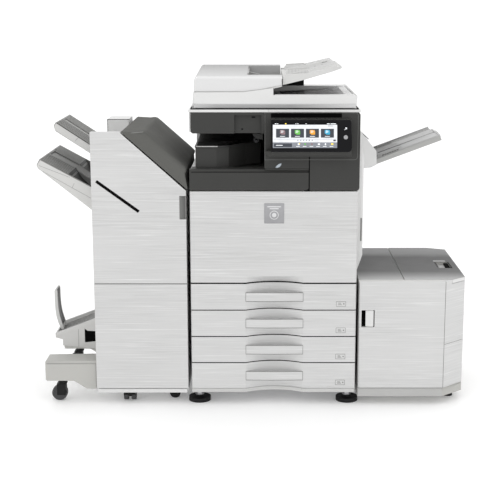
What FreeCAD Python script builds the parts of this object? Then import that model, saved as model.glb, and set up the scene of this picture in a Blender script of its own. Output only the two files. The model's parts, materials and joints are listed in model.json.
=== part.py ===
"""Floor-standing office copier with a document feeder, a staple finisher and a side cassette.

Everything is laid out about the middle of the main unit: X runs to the right, Y runs from the
plane of the drawer fronts to the back, and Z runs up from the floor.  Each node is then moved by
shift_x and shift_y, so that the origin is at the bottom centre of the whole copier.
"""
import FreeCAD
import Part
import math
import os
import re
import Sketcher

V = FreeCAD.Vector
doc = FreeCAD.newDocument("copier")
sheet = doc.addObject("Spreadsheet::Sheet", "Params")

# Driving dimensions in millimetres.
SIZES = {
    # main unit
    "main_w": 558, "main_d": 620, "wall": 12, "front_t": 30, "seam": 1.5,
    "base_z": 45, "sheet_t": 2, "drawer_z": 59, "drawer_pitch": 92.3,
    "cover_top": 741, "dark_z": 744, "dark_top": 1001, "bay_floor": 810, "bay_top": 932,
    "bay_right": -31, "cover_seam_x": 116, "foot_r": 38, "foot_disc": 14, "foot_x": 255,
    "foot_y": 60, "stem_r": 7,
    # scanner
    "scan_z": 940, "flange_z": 1002, "scan_top": 1011, "scan_w": 564, "glass_t": 5,
    "glass_x0": -205, "glass_x1": 225, "glass_y0": 80, "glass_y1": 400,
    # document feeder
    "adf_z": 1015, "adf_lip": 1057, "adf_x0": -268, "adf_x1": 273, "adf_y0": 8, "adf_y1": 560,
    "feed_z": 1069, "feed_top": 1133, "pivot_y": 582, "pivot_z": 1038, "pin_r": 5, "pin_gap": 0.05,
    # control panel
    "panel_x0": -10, "panel_x1": 252, "panel_top": 984, "panel_low": 880, "panel_lip": 863,
    "display_w": 208, "display_z": 82,
    # side door and bypass tray
    "door_y0": 70, "door_y1": 520, "tray_y0": 150, "tray_y1": 450, "bypass_angle": 20.5,
    "bypass_x": 336, "bypass_z": 814, "bypass_len": 250,
    # side cassette
    "lcc_x0": 287, "lcc_x1": 655, "lcc_d": 560, "lcc_z": 30, "lcc_top": 436,
    "lcc_turn": 580, "lcc_side_y": 70, "lcc_lid_x": 443, "lcc_split": 214,
    # finisher
    "fin_x0": -604, "fin_x1": -291, "fin_d": 565, "fin_z": 43, "fin_top": 937, "fin_door_z": 60,
    "fin_low": 746, "fin_peak_x": -507, "fin_flat_x": -425, "fin_cap_z": 815, "fin_seam_z": 427,
    "arm_x": -781, "caster_x": -741, "caster_r": 27, "cab_caster_x": -497, "cab_caster_y": 62,
    "cab_caster_r": 19,
}
for row, (alias, number) in enumerate(SIZES.items(), start=1):
    sheet.set("A%d" % row, alias)
    sheet.set("B%d" % row, str(number))
    sheet.setAlias("B%d" % row, alias)

# The copier reaches from the lift tray's tip to the side cassette, and from the panel to the back.
LEFT_END = -795
FRONT_END = -60
INLET_PROUD = 1.5
row = len(SIZES) + 1
for alias, number in (("shift_x", -(LEFT_END + SIZES["lcc_x1"]) / 2),
                      ("shift_y", -(FRONT_END + SIZES["main_d"] + INLET_PROUD) / 2)):
    sheet.set("A%d" % row, alias)
    sheet.set("B%d" % row, str(number))
    sheet.setAlias("B%d" % row, alias)
    row += 1
doc.recompute()

NODES = []
WORDS = re.compile(r"[a-z][a-z_0-9]*")


def linked(expression):
    """The expression with each alias pointed at the spreadsheet."""
    return WORDS.sub(lambda word: "Params." + word.group(0), str(expression))


def number_of(expression):
    """The present value of an expression of aliases."""
    if isinstance(expression, (int, float)):
        return float(expression)
    return float(sheet.evalExpression(expression))


def bind(thing, prop, expression):
    """Set a property, and keep it tied to the spreadsheet where it uses an alias."""
    if WORDS.search(str(expression)):
        thing.setExpression(prop, linked(expression))
    else:
        thing.setExpression(prop, str(expression))


def place(thing, label):
    """Name a node and move it to the copier's own origin."""
    thing.Label = label
    thing.setExpression("Placement.Base.x", "Params.shift_x")
    thing.setExpression("Placement.Base.y", "Params.shift_y")
    NODES.append(thing)
    return thing


def unlisted(piece):
    """A body that only serves another node: off the list of nodes, and back in its own place."""
    NODES.remove(piece.body)
    piece.body.setExpression("Placement.Base.x", None)
    piece.body.setExpression("Placement.Base.y", None)
    piece.body.Placement = FreeCAD.Placement()
    return piece.body


class Piece:
    """One PartDesign body, built from prisms along X, Y or Z."""

    ROLE = {"x": "YZ_Plane", "y": "XZ_Plane", "z": "XY_Plane"}
    SIGN = {"x": "", "y": "-", "z": ""}

    def __init__(self, label):
        self.body = doc.addObject("PartDesign::Body", label)
        self.label = label
        self.count = 0
        place(self.body, label)

    def sketch(self, axis, outline, start, end):
        """A closed outline, half way between start and end along the axis."""
        self.count += 1
        sketch = self.body.newObject("Sketcher::SketchObject", "%s_s%d" % (self.label, self.count))
        origin = [o for o in self.body.Origin.OriginFeatures if o.Role == self.ROLE[axis]][0]
        sketch.AttachmentSupport = (origin, [""])
        sketch.MapMode = "FlatFace"
        bind(sketch, "AttachmentOffset.Base.z", "%s((%s)+(%s))/2" % (self.SIGN[axis], start, end))
        spots = [(number_of(u), number_of(v)) for u, v in outline]
        total = len(spots)
        for i in range(total):
            sketch.addGeometry(Part.LineSegment(V(*spots[i], 0), V(*spots[(i + 1) % total], 0)), False)
        for i in range(total):
            sketch.addConstraint(Sketcher.Constraint("Coincident", i, 2, (i + 1) % total, 1))
        for i, point in enumerate(outline):
            for kind, expression, spot in zip(("DistanceX", "DistanceY"), point, spots[i]):
                index = sketch.addConstraint(Sketcher.Constraint(kind, -1, 1, i, 1, spot))
                if WORDS.search(str(expression)):
                    bind(sketch, "Constraints[%d]" % index, expression)
        return sketch

    def feature(self, kind, sketch, start, end):
        """Extrude a sketch to both sides, so that the prism runs from start to end."""
        item = self.body.newObject("PartDesign::" + kind, "%s_%s%d" % (self.label, kind, self.count))
        item.Profile = sketch
        item.SideType = "Symmetric"
        bind(item, "Length", "(%s)-(%s)" % (end, start))
        sketch.Visibility = False
        return item

    def pad(self, axis, outline, start, end):
        self.feature("Pad", self.sketch(axis, outline, start, end), start, end)
        return self

    def cut(self, axis, outline, start, end):
        doc.recompute()
        before = self.body.Shape.Volume
        self.feature("Pocket", self.sketch(axis, outline, start, end), start, end)
        doc.recompute()
        if self.body.Shape.Volume >= before - 1e-6:
            raise RuntimeError("a cut in %s removes nothing" % self.label)
        return self

    def box(self, x0, x1, y0, y1, z0, z1):
        return self.pad("z", rectangle(x0, x1, y0, y1), z0, z1)

    def hollow(self, x0, x1, y0, y1, z0, z1):
        return self.cut("z", rectangle(x0, x1, y0, y1), z0, z1)

    def hole(self, axis, u, v, radius, start, end):
        """A round hole along an axis."""
        doc.recompute()
        sketch = self.sketch(axis, [], start, end)
        spot = V(number_of(u), number_of(v), 0)
        sketch.addGeometry(Part.Circle(spot, V(0, 0, 1), number_of(radius)), False)
        for kind, expression, value in (("DistanceX", u, spot.x), ("DistanceY", v, spot.y)):
            index = sketch.addConstraint(Sketcher.Constraint(kind, -1, 1, 0, 3, value))
            bind(sketch, "Constraints[%d]" % index, expression)
        index = sketch.addConstraint(Sketcher.Constraint("Radius", 0, number_of(radius)))
        bind(sketch, "Constraints[%d]" % index, radius)
        self.feature("Pocket", sketch, start, end)
        return self

    def round(self, radius, axis, near, reach=2.0):
        """Fillet the edges along an axis that pass near a point given in the other two axes."""
        doc.recompute()
        tip = self.body.Tip
        other = [i for i in range(3) if i != "xyz".index(axis)]
        target = [number_of(n) for n in near]
        names = []
        for i, edge in enumerate(tip.Shape.Edges, start=1):
            box = edge.BoundBox
            low = (box.XMin, box.YMin, box.ZMin)
            high = (box.XMax, box.YMax, box.ZMax)
            straight = all(high[k] - low[k] < reach for k in other)
            if straight and all(abs(low[k] - t) < reach for k, t in zip(other, target)):
                names.append("Edge%d" % i)
        if not names:
            raise RuntimeError("no edge of %s near %s" % (self.label, near))
        fillet = self.body.newObject("PartDesign::Fillet", "%s_f%d" % (self.label, self.count))
        self.count += 1
        fillet.Base = (tip, names)
        bind(fillet, "Radius", radius)
        return self


def rectangle(u0, u1, v0, v1):
    return [(u0, v0), (u1, v0), (u1, v1), (u0, v1)]


TURN = {"x": FreeCAD.Rotation(V(0, 1, 0), 90), "y": FreeCAD.Rotation(V(1, 0, 0), -90),
        "z": FreeCAD.Rotation()}


def cylinder(name, axis, at, radius, length):
    """A cylinder primitive that starts at a point and runs up its axis."""
    item = doc.addObject("Part::Cylinder", name)
    item.Placement = FreeCAD.Placement(V(0, 0, 0), TURN[axis])
    bind(item, "Radius", radius)
    bind(item, "Height", length)
    for key, expression in zip("xyz", at):
        bind(item, "Placement.Base." + key, expression)
    return item


def block(name, x0, x1, y0, y1, z0, z1):
    """A box primitive between two corners."""
    item = doc.addObject("Part::Box", name)
    for size, low, high in (("Length", x0, x1), ("Width", y0, y1), ("Height", z0, z1)):
        bind(item, size, "(%s)-(%s)" % (high, low))
    for key, low in zip("xyz", (x0, y0, z0)):
        bind(item, "Placement.Base." + key, low)
    return item


def fuse(name, items):
    item = doc.addObject("Part::MultiFuse", name)
    item.Shapes = items
    return item


def group(label, items):
    """Several like solids that share one node."""
    item = doc.addObject("Part::Compound", label)
    item.Links = items
    return place(item, label)


HALF = "main_w/2"
DRAWER_TOP = "drawer_z+4*drawer_pitch"
COUNT_DRAWERS = 4


# ---------------------------------------------------------------- main unit, fixed pieces
def main_frame():
    """Sheet-steel base pan, paper deck, back wall and the hollow boxes of the engine."""
    frame = Piece("main_frame")
    inner = "(main_w/2-wall-1)"
    deck = DRAWER_TOP + "+6"
    frame.box("-" + inner, inner, "600-sheet_t", 600, "base_z", 936)
    frame.box("-" + inner, inner, 36, 598, "base_z", "base_z+sheet_t")
    frame.box("-" + inner, inner, 40, 598, deck, deck + "+sheet_t")
    frame.box("-" + inner, inner, 140, 598, deck, 802)
    frame.box("cover_seam_x+4", inner, 36, 598, 760, "scan_z-3")
    frame.box("-" + inner, "cover_seam_x+6", 474, 598, 800, "scan_z-3")
    skin = "sheet_t"
    frame.hollow("-%s+%s" % (inner, skin), "%s-%s" % (inner, skin), "140+sheet_t", "600-sheet_t",
                 deck + "+sheet_t", "760-sheet_t")
    frame.hollow("cover_seam_x+4+sheet_t", "%s-%s" % (inner, skin), "36+sheet_t", "600-sheet_t",
                 "802+sheet_t", "scan_z-3-sheet_t")
    frame.hollow("-%s+%s" % (inner, skin), "cover_seam_x", "474+sheet_t", "600-sheet_t",
                 "802+sheet_t", "scan_z-3-sheet_t")


def levelling_feet():
    """Four threaded spindles, each with a wide disc on the floor."""
    feet = []
    for side in ("-foot_x", "foot_x"):
        for depth in ("foot_y", "main_d-foot_y"):
            name = "foot_%d" % len(feet)
            disc = cylinder(name + "_disc", "z", (side, depth, 0), "foot_r", "foot_disc")
            stem = cylinder(name + "_stem", "z", (side, depth, "foot_disc-4"), "stem_r",
                            "base_z-foot_disc+4")
            nut = cylinder(name + "_nut", "z", (side, depth, "foot_disc-2"), "stem_r*1.8", 9)
            feet.append(fuse(name, [disc, stem, nut]))
    group("levelling_feet", feet)


def side_covers():
    left = Piece("left_side_cover")
    left.box("-main_w/2", "-main_w/2+wall", "front_t+6", 588, "base_z", "bay_floor-4")
    left.box("-main_w/2", "-main_w/2+wall", 474, 588, "bay_floor-6", "flange_z-1")
    left.box("-main_w/2", "-main_w/2+wall", "front_t+2", 588, "bay_top+2", "flange_z-1")
    right = Piece("right_side_cover")
    right.box("main_w/2-wall", HALF, "front_t+6", 588, "base_z", "flange_z-1")
    right.hollow("main_w/2-wall-2", "main_w/2+2", "door_y0+20", "door_y1-20", 520, 790)
    rear = Piece("rear_cover")
    rear.box("-main_w/2", HALF, 601, "main_d", "base_z", "flange_z-1")
    rear.hollow("-main_w/2+9", "main_w/2-9", 600, "main_d-sheet_t", "base_z+6", "flange_z-8")
    rear.round(14, "z", ("-main_w/2", "main_d"))
    rear.round(14, "z", (HALF, "main_d"))


def drawer_runners():
    """One steel rail each side of every drawer."""
    rails = []
    for i in range(COUNT_DRAWERS):
        low = "drawer_z+drawer_pitch*%d+40" % i
        for side in (-1, 1):
            x0 = "-main_w/2+wall+1" if side < 0 else "main_w/2-wall-9"
            x1 = "-main_w/2+wall+9" if side < 0 else "main_w/2-wall-1"
            rails.append(block("rail_%d" % len(rails), x0, x1, 45, 586, low, low + "+22"))
    group("drawer_runners", rails)


def bay_pieces():
    """The dark output bay: its liner, the covers around it and the paper relay inside it."""
    liner = Piece("bay_liner")
    liner.box("-main_w/2+wall+1", "cover_seam_x-2", "front_t+2", 470, "bay_floor-6", "bay_floor")
    liner.box("-main_w/2+wall+1", "bay_right", 462, 470, "bay_floor-2", "bay_top")
    liner.box("bay_right", "bay_right+8", "front_t+2", 470, "bay_floor-2", "bay_top")
    low = Piece("bay_front_cover")
    low.pad("x", [(0, "dark_z"), ("front_t+1", "dark_z"), ("front_t+1", "bay_floor+4"),
                  (6, "bay_floor+4"), (0, "bay_floor-4")], "-main_w/2", "cover_seam_x")
    upper = Piece("upper_left_cover")
    upper.box("-main_w/2+6", "bay_right-1", 0, "front_t", "bay_top+1", "dark_top")
    upper.hollow(-130, "bay_right-10", -1, 14, "bay_top-1", "dark_top-8")
    upper.round(9, "y", ("-main_w/2+6", "bay_top+1"))
    right = Piece("right_front_cover")
    right.pad("y", [("cover_seam_x+2", "dark_z"), (283, "dark_z"), (283, "dark_top"),
                    ("bay_right", "dark_top"), ("bay_right", "bay_floor+8"),
                    ("cover_seam_x+2", "bay_floor+8")], 0, "front_t")
    right.round(10, "y", (283, "dark_z"))
    right.round(8, "y", (283, "dark_top"))
    relay = Piece("relay_unit")
    relay.pad("z", [(-260, 36), (-190, 36), (-150, 58), (-96, 130), (-44, 178), (-44, 446), (-260, 446)],
              "bay_floor+2", "bay_floor+72")


def engine_pieces():
    """Toner cartridges behind the front cover, the fuser behind the side door, the inlet."""
    bottles = []
    for i in range(COUNT_DRAWERS):
        middle = -170 + 90 * i
        name = "cartridge_%d" % i
        tube = cylinder(name + "_tube", "y", (middle, 58, 640), 30, 82)
        grip = block(name + "_grip", middle - 22, middle + 22, 50, 62, 628, 652)
        bottles.append(fuse(name, [tube, grip]))
    group("toner_cartridges", bottles)
    fuser = Piece("fuser_unit")
    fuser.box(267, 277, "door_y0+40", "door_y1-40", 700, 780)
    inlet = Piece("power_inlet")
    inlet.box(190, 238, "main_d", "main_d+%s" % INLET_PROUD, 120, 156)
    inlet.hollow(198, 230, "main_d-1", "main_d+3", 128, 148)


def scanner():
    """The hollow scanner housing with its flange, glass, carriage and the lid's hinges."""
    housing = Piece("scanner_housing")
    housing.box("-main_w/2+wall+2", "main_w/2-wall-2", "front_t+2", 586, "scan_z", "flange_z+1")
    housing.box("-scan_w/2+2", "scan_w/2+2", 0, "main_d-2", "flange_z", "scan_top")
    housing.hollow(-258, 250, 60, 500, "scan_z+8", "flange_z+2")
    housing.hollow("glass_x0+8", "glass_x1-8", "glass_y0+8", "glass_y1-8", "flange_z-2", "scan_top+1")
    housing.hollow("glass_x0", "glass_x1", "glass_y0", "glass_y1", "scan_top-glass_t", "scan_top+1")
    housing.hollow(-248, -222, "glass_y0", "glass_y1", "scan_top-glass_t", "scan_top+1")
    wide = block("glass_wide", "glass_x0", "glass_x1", "glass_y0", "glass_y1",
                 "scan_top-glass_t", "scan_top")
    narrow = block("glass_narrow", -248, -222, "glass_y0", "glass_y1", "scan_top-glass_t", "scan_top")
    group("platen_glass", [wide, narrow])
    carriage = Piece("scanner_carriage")
    carriage.box(-250, -205, 66, 494, "scan_z+10", "scan_z+38")
    carriage.hollow(-240, -215, 80, 480, "scan_z+28", "scan_z+40")
    blocks = []
    for middle in (-200, 200):
        name = "hinge_%d" % len(blocks)
        foot = block(name + "_foot", middle - 22, middle + 22, 566, 604, "scan_top", "scan_top+5")
        near = block(name + "_near", middle - 22, middle - 11, 570, 596, "scan_top+4", "pivot_z+9")
        far = block(name + "_far", middle + 11, middle + 22, 570, 596, "scan_top+4", "pivot_z+9")
        pin = cylinder(name + "_pin", "x", (middle - 12, "pivot_y", "pivot_z"), "pin_r", 24)
        blocks.append(fuse(name, [foot, near, far, pin]))
    group("adf_hinges", blocks)


# ---------------------------------------------------------------- main unit, moving pieces
def front_cover():
    """The large cover below the output bay, hinged along its lower edge."""
    cover = Piece("front_cover")
    cover.box("-main_w/2", HALF, 0, "front_t+4", "%s+seam" % DRAWER_TOP, "cover_top")
    cover.hollow("-main_w/2+14", "main_w/2-14", 12, "front_t+6", "%s+20" % DRAWER_TOP, "cover_top-16")
    cover.cut("y", [(-92, "%s-1" % DRAWER_TOP), (98, "%s-1" % DRAWER_TOP), (80, "%s+9" % DRAWER_TOP),
                    (-74, "%s+9" % DRAWER_TOP)], -1, 9)
    cover.round(6, "z", ("-main_w/2", 0))
    cover.round(6, "z", (HALF, 0))


def drawer(i):
    """A paper drawer: its front with the scooped grip, and the tray behind it."""
    low = "drawer_z+drawer_pitch*%d" % i
    number = COUNT_DRAWERS - i
    front = Piece("drawer_front_%d" % number)
    front.box("-main_w/2", HALF, 0, "front_t", low + "+seam", low + "+drawer_pitch-seam")
    front.cut("y", [(-98, low + "+56"), (104, low + "+56"), (86, low + "+24"), (-80, low + "+24")], -1, 18)
    front.cut("y", [(-98, low + "+55"), (104, low + "+55"), (92, low + "+drawer_pitch"),
                    (-86, low + "+drawer_pitch")], -1, 18)
    front.pad("x", [(-3, low + "+34"), (5, low + "+28"), (7, low + "+30"), (5, low + "+58"),
                    (-3, low + "+56")], -99, 105)
    front.round(6, "z", ("-main_w/2", 0))
    front.round(6, "z", (HALF, 0))
    tray = Piece("drawer_tray_%d" % number)
    tray.box(-252, 252, "front_t", 560, low + "+12", low + "+76")
    tray.hollow(-248, 248, "front_t+4", 556, low + "+15", low + "+80")


def control_panel():
    """The tilting panel: housing, glossy display and two keys."""
    panel = Piece("control_panel")
    panel.pad("x", [(-38, "panel_top"), (-60, "panel_low"), (-46, "panel_lip"), (-2, "panel_lip"),
                    (-2, "panel_top")], "panel_x0", "panel_x1")
    slope = math.atan2(22, SIZES["panel_top"] - SIZES["panel_low"])
    lean = FreeCAD.Rotation(V(1, 0, 0), -math.degrees(slope))
    screen_seat = panel_slab("screen_seat", lean, 100, 0, "display_w", "display_z", 4, 1.2)
    key_seats = [panel_slab("key_seat_%d" % i, lean, 232, dz, 14.6, 14.6, 12, 1.0)
                 for i, dz in enumerate((-6, 22))]
    # The housing is the body less the seats of the display and the keys.
    blank = unlisted(panel)
    blank.Label = "panel_blank"
    housing = doc.addObject("Part::Cut", "panel_housing")
    housing.Base = blank
    housing.Tool = fuse("panel_seats", [screen_seat] + key_seats)
    place(housing, "control_panel")
    screen = panel_slab("screen", lean, 100, 0, "display_w", "display_z", 4, 0.0)
    group("display_screen", [screen])
    for i, (label, dz) in enumerate((("power_key", -6), ("home_key", 22))):
        key = panel_slab("key_%d" % i, lean, 232, dz, 14, 14, 6, 2.5)
        group(label, [key])


def panel_slab(name, lean, x, dz, wide, tall, deep, proud):
    """A slab let into the sloping face, centred dz above the middle, standing proud by some mm."""
    middle = (SIZES["panel_top"] + SIZES["panel_low"]) / 2
    item = doc.addObject("Part::Box", name)
    bind(item, "Length", wide)
    bind(item, "Height", tall)
    bind(item, "Width", "(%s)+(%s)" % (deep, proud))
    centre = V(x, -49, middle) + lean.multVec(V(0, -proud, dz))
    corner = V(-number_of(wide) / 2, 0, -number_of(tall) / 2)
    item.Placement = FreeCAD.Placement(centre + lean.multVec(corner), lean)
    return item


def side_door():
    """The right door with the cheeks that carry the bypass tray."""
    door = Piece("side_door")
    door.pad("y", [(280, 456), (283, 456), (303, 512), (303, 813), (303, 840), (291, 912), (280, 912)],
             "door_y0", "door_y1")
    for y0, y1 in (("tray_y0-12", "tray_y0-1"), ("tray_y1+1", "tray_y1+12")):
        door.pad("y", [(290, 801), (338, 805), (352, 812), (350, 859), (293, 930), (290, 930)], y0, y1)
    door.pad("y", [(300, 798), (338, 802), (330, 806), (322, 824), (300, 826)],
             "tray_y0-6", "tray_y1+6")
    door.hollow(279, 296, "door_y0+8", "door_y1-8", 530, 800)
    door.round(8, "z", (303, "door_y0"))


def bypass():
    """The fold-up tray with its pull-out end and the two paper guides."""
    lean = FreeCAD.Rotation(V(0, 1, 0), -SIZES["bypass_angle"])
    hinge = V(SIZES["bypass_x"], 0, SIZES["bypass_z"])

    def slab(name, u0, u1, y0, y1, w0, w1):
        """A box in the tray's own leaning axes: u along it, w off its surface."""
        item = doc.addObject("Part::Box", name)
        bind(item, "Length", "(%s)-(%s)" % (u1, u0))
        bind(item, "Width", "(%s)-(%s)" % (y1, y0))
        bind(item, "Height", "(%s)-(%s)" % (w1, w0))
        corner = V(number_of(u0), number_of(y0), number_of(w0))
        item.Placement = FreeCAD.Placement(hinge + lean.multVec(corner), lean)
        return item

    plate = slab("bypass_plate", -4, "bypass_len", "tray_y0", "tray_y1", -7, 5)
    rims = [slab("bypass_rim_0", 14, "bypass_len", "tray_y0", "tray_y0+5", 4, 10),
            slab("bypass_rim_1", 14, "bypass_len", "tray_y1-5", "tray_y1", 4, 10)]
    slot = slab("bypass_slot", 120, "bypass_len+5", 210, 390, -4, 1.2)
    channel = slab("bypass_channel", 40, "bypass_len+5", 286, 314, 2.4, 8)
    blank = fuse("bypass_blank", [plate] + rims)
    tray = doc.addObject("Part::Cut", "bypass_cut")
    tray.Base = blank
    tray.Tool = fuse("bypass_tools", [slot, channel])
    place(tray, "bypass_tray")
    stretch = slab("stretch", 130, "bypass_len+2", 210.6, 389.4, -3.4, 0.6)
    lip = slab("stretch_lip", "bypass_len+1", "bypass_len+7", 206, 394, -6, 5)
    place(fuse("stretch_all", [stretch, lip]), "bypass_extension")
    for label, y0 in (("bypass_guide_front", 176), ("bypass_guide_rear", 418)):
        foot = slab(label + "_foot", 44, 104, y0, y0 + 6, 5.3, 13)
        sole = slab(label + "_sole", 44, 104, y0 - 4, y0 + 10, 5.3, 8)
        place(fuse(label + "_all", [foot, sole]), label)


# ---------------------------------------------------------------- document feeder
# What is cut from the document tray's outer corners, seen from above, to round them off.
TRAY_CORNER = [(165, 22), (166, 24), (189, 28.6), (208, 41.6), (221, 61), (226, 84), (228, 84), (228, 22)]


def document_feeder():
    """The lid that feeds originals: base, white pad, feed cover, roller, tray and guides."""
    base = Piece("adf_base")
    base.pad("y", [("adf_x0", "adf_z"), ("adf_x1-4", "adf_z"), ("adf_x1", "adf_lip-4"), (264, "adf_lip"),
                   (-2, "adf_lip"), (-2, 1080), (-100, 1067), ("adf_x0+4", 1066)], "adf_y0", "adf_y1")
    base.hollow(2, 262, 34, 474, "adf_z+22", 1100)
    base.cut("x", [("adf_y0-1", "adf_z-1"), ("adf_y0-1", "adf_z+13"), ("adf_y0+14", "adf_z-1")],
             "adf_x0-5", "adf_x1+5")
    base.box(-4, 114, 478, 556, "adf_lip-2", 1082)
    for y0, y1 in ((186, 194), (366, 374)):
        base.box(-50, -30, y0, y1, 1070, 1100)
    base.hole("y", -40, 1093, 3.05, 180, 380)
    for middle in (-200, 200):
        base.pad("x", [("adf_y1-2", "pivot_z-10"), ("pivot_y+8", "pivot_z-8"), ("pivot_y+8", "pivot_z+8"),
                       ("adf_y1-2", "pivot_z+12")], middle - 9, middle + 9)
        base.hole("x", "pivot_y", "pivot_z", "pin_r+pin_gap", middle - 10, middle + 10)
    base.round(12, "z", ("adf_x0", "adf_y0"), 6)
    pad = Piece("adf_pad")
    pad.box("glass_x0-6", "glass_x1+6", "glass_y0-6", "glass_y1+6", "scan_top+0.6", "adf_z")
    cover = Piece("adf_feeder_cover")
    cover.pad("x", [(14, "feed_z"), (14, 1108), (22, 1116), (480, "feed_top"), (545, 1126), (556, 1110),
                    (556, "feed_z")], "adf_x0+6", 27)
    cover.hollow(-246, 18, 40, 540, "feed_z-2", 1106)
    cover.cut("y", [(-100, "feed_z-2"), (-100, "feed_z"), (-40, "feed_z+7"), (28, 1091), (28, "feed_z-2")],
              12, 558)
    cover.hollow(-87, 30, 90, 430, 1104, 1140)
    cover.round(14, "y", ("adf_x0+6", 1112), 30)
    roller = doc.addObject("Part::MultiFuse", "roller_all")
    sleeves = [cylinder("sleeve_%d" % i, "y", (-40, y, 1093), 9, 34) for i, y in enumerate((222, 304))]
    roller.Shapes = [cylinder("roller_shaft", "y", (-40, 184, 1093), 3, 192)] + sleeves
    place(roller, "feed_roller")
    tray = Piece("document_tray")
    tray.pad("y", [(29, 1122), (110, 1127), (206, 1152), (222, 1149), (226, 1142), (100, 1106),
                   (29, 1089)], 24, 470)
    tray.cut("y", [(28, 1124), (28, 1118), (112, 1122), (216, 1147), (230, 1156), (100, 1150)], 40, 454)
    for side, low in ((1, 0), (-1, 494)):
        tray.cut("z", [(x, low + side * y) for x, y in TRAY_CORNER], 1080, 1160)
    for label, y0 in (("document_guide_front", 96), ("document_guide_rear", 396)):
        guide = Piece(label)
        guide.pad("y", [(40, 1119.2), (110, 1122.7), (118, 1128), (112, 1140), (48, 1136), (40, 1130)],
                  y0, y0 + 6)


# ---------------------------------------------------------------- side cassette
# What is cut from the rear right corner of the cassette, seen from above.
LCC_CORNER = [("lcc_x1-70", "lcc_d+1"), ("lcc_x1+1", "lcc_d-36"), ("lcc_x1+1", "lcc_d+1")]


def cassette():
    """The large-capacity cassette that docks against the right side."""
    body = Piece("lcc_cabinet")
    body.pad("z", [("lcc_x0+2", 24), ("lcc_turn-6", 24), ("lcc_x1-11", 92), ("lcc_x1-11", "lcc_d-4"),
                   ("lcc_x0+2", "lcc_d-4")], "lcc_z+4", "lcc_top-13")
    body.hollow("lcc_x0+14", "lcc_x1-22", 100, "lcc_d-32", "lcc_z+30", "lcc_top+5")
    body.box("lcc_x0+1", "lcc_lid_x-2", 24, "lcc_d-2", "lcc_top-14", "lcc_top")
    body.box("lcc_x1-12", "lcc_x1", 94, "lcc_d-2", "lcc_z", "lcc_split-7")
    body.pad("z", [("lcc_x0", 4), ("lcc_turn-3", 4), ("lcc_x1", "lcc_side_y+2"), ("lcc_x1", "lcc_d"),
                   ("lcc_x0", "lcc_d")], "lcc_z", "lcc_z+30")
    body.cut("z", LCC_CORNER, "lcc_z-1", "lcc_top+1")
    front = Piece("lcc_front_cover")
    front.pad("z", [("lcc_x0", 0), ("lcc_turn", 0), ("lcc_x1", "lcc_side_y"), ("lcc_x1", 90),
                    ("lcc_x1-9", 90), ("lcc_turn-5", 22), ("lcc_x0", 22)], "lcc_z+32", "lcc_top")
    front.hollow("lcc_x0+10", "lcc_x0+55", -1, 16, 276, 336)
    front.hollow("lcc_turn-40", "lcc_x1+1", 23, 92, "lcc_top-14", "lcc_top+1")
    front.round(7, "z", ("lcc_x0", 0))
    latch = Piece("lcc_latch_handle")
    latch.box("lcc_x0+26", "lcc_x0+51", 2, 9, 278, 334)
    lid = Piece("lcc_lid")
    lid.pad("y", [("lcc_lid_x", "lcc_top-12"), ("lcc_x1-9", "lcc_top-12"), ("lcc_x1-9", "lcc_split"),
                  ("lcc_x1", "lcc_split"), ("lcc_x1", "lcc_top-6"), ("lcc_x1-6", "lcc_top"),
                  ("lcc_lid_x", "lcc_top")], 94, "lcc_d-3")
    lid.pad("z", [("lcc_lid_x", 24), ("lcc_turn+25", 24), ("lcc_x1", "lcc_side_y+1"), ("lcc_x1", 96),
                  ("lcc_lid_x", 96)], "lcc_top-12", "lcc_top")
    lid.cut("z", LCC_CORNER, "lcc_split-1", "lcc_top+1")
    lid.hollow("lcc_x1-70", "lcc_x1-25", 203, 300, "lcc_top-8", "lcc_top+1")
    table = Piece("lcc_lift_table")
    table.box("lcc_x0+18", "lcc_x1-26", 106, "lcc_d-38", "lcc_z+34", "lcc_z+40")
    glides = []
    for x in ("lcc_x0+40", "lcc_x1-40"):
        for y in (110, "lcc_d-40"):
            glides.append(cylinder("glide_%d" % len(glides), "z", (x, y, 0), 16, "lcc_z"))
    group("lcc_glides", glides)


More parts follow.
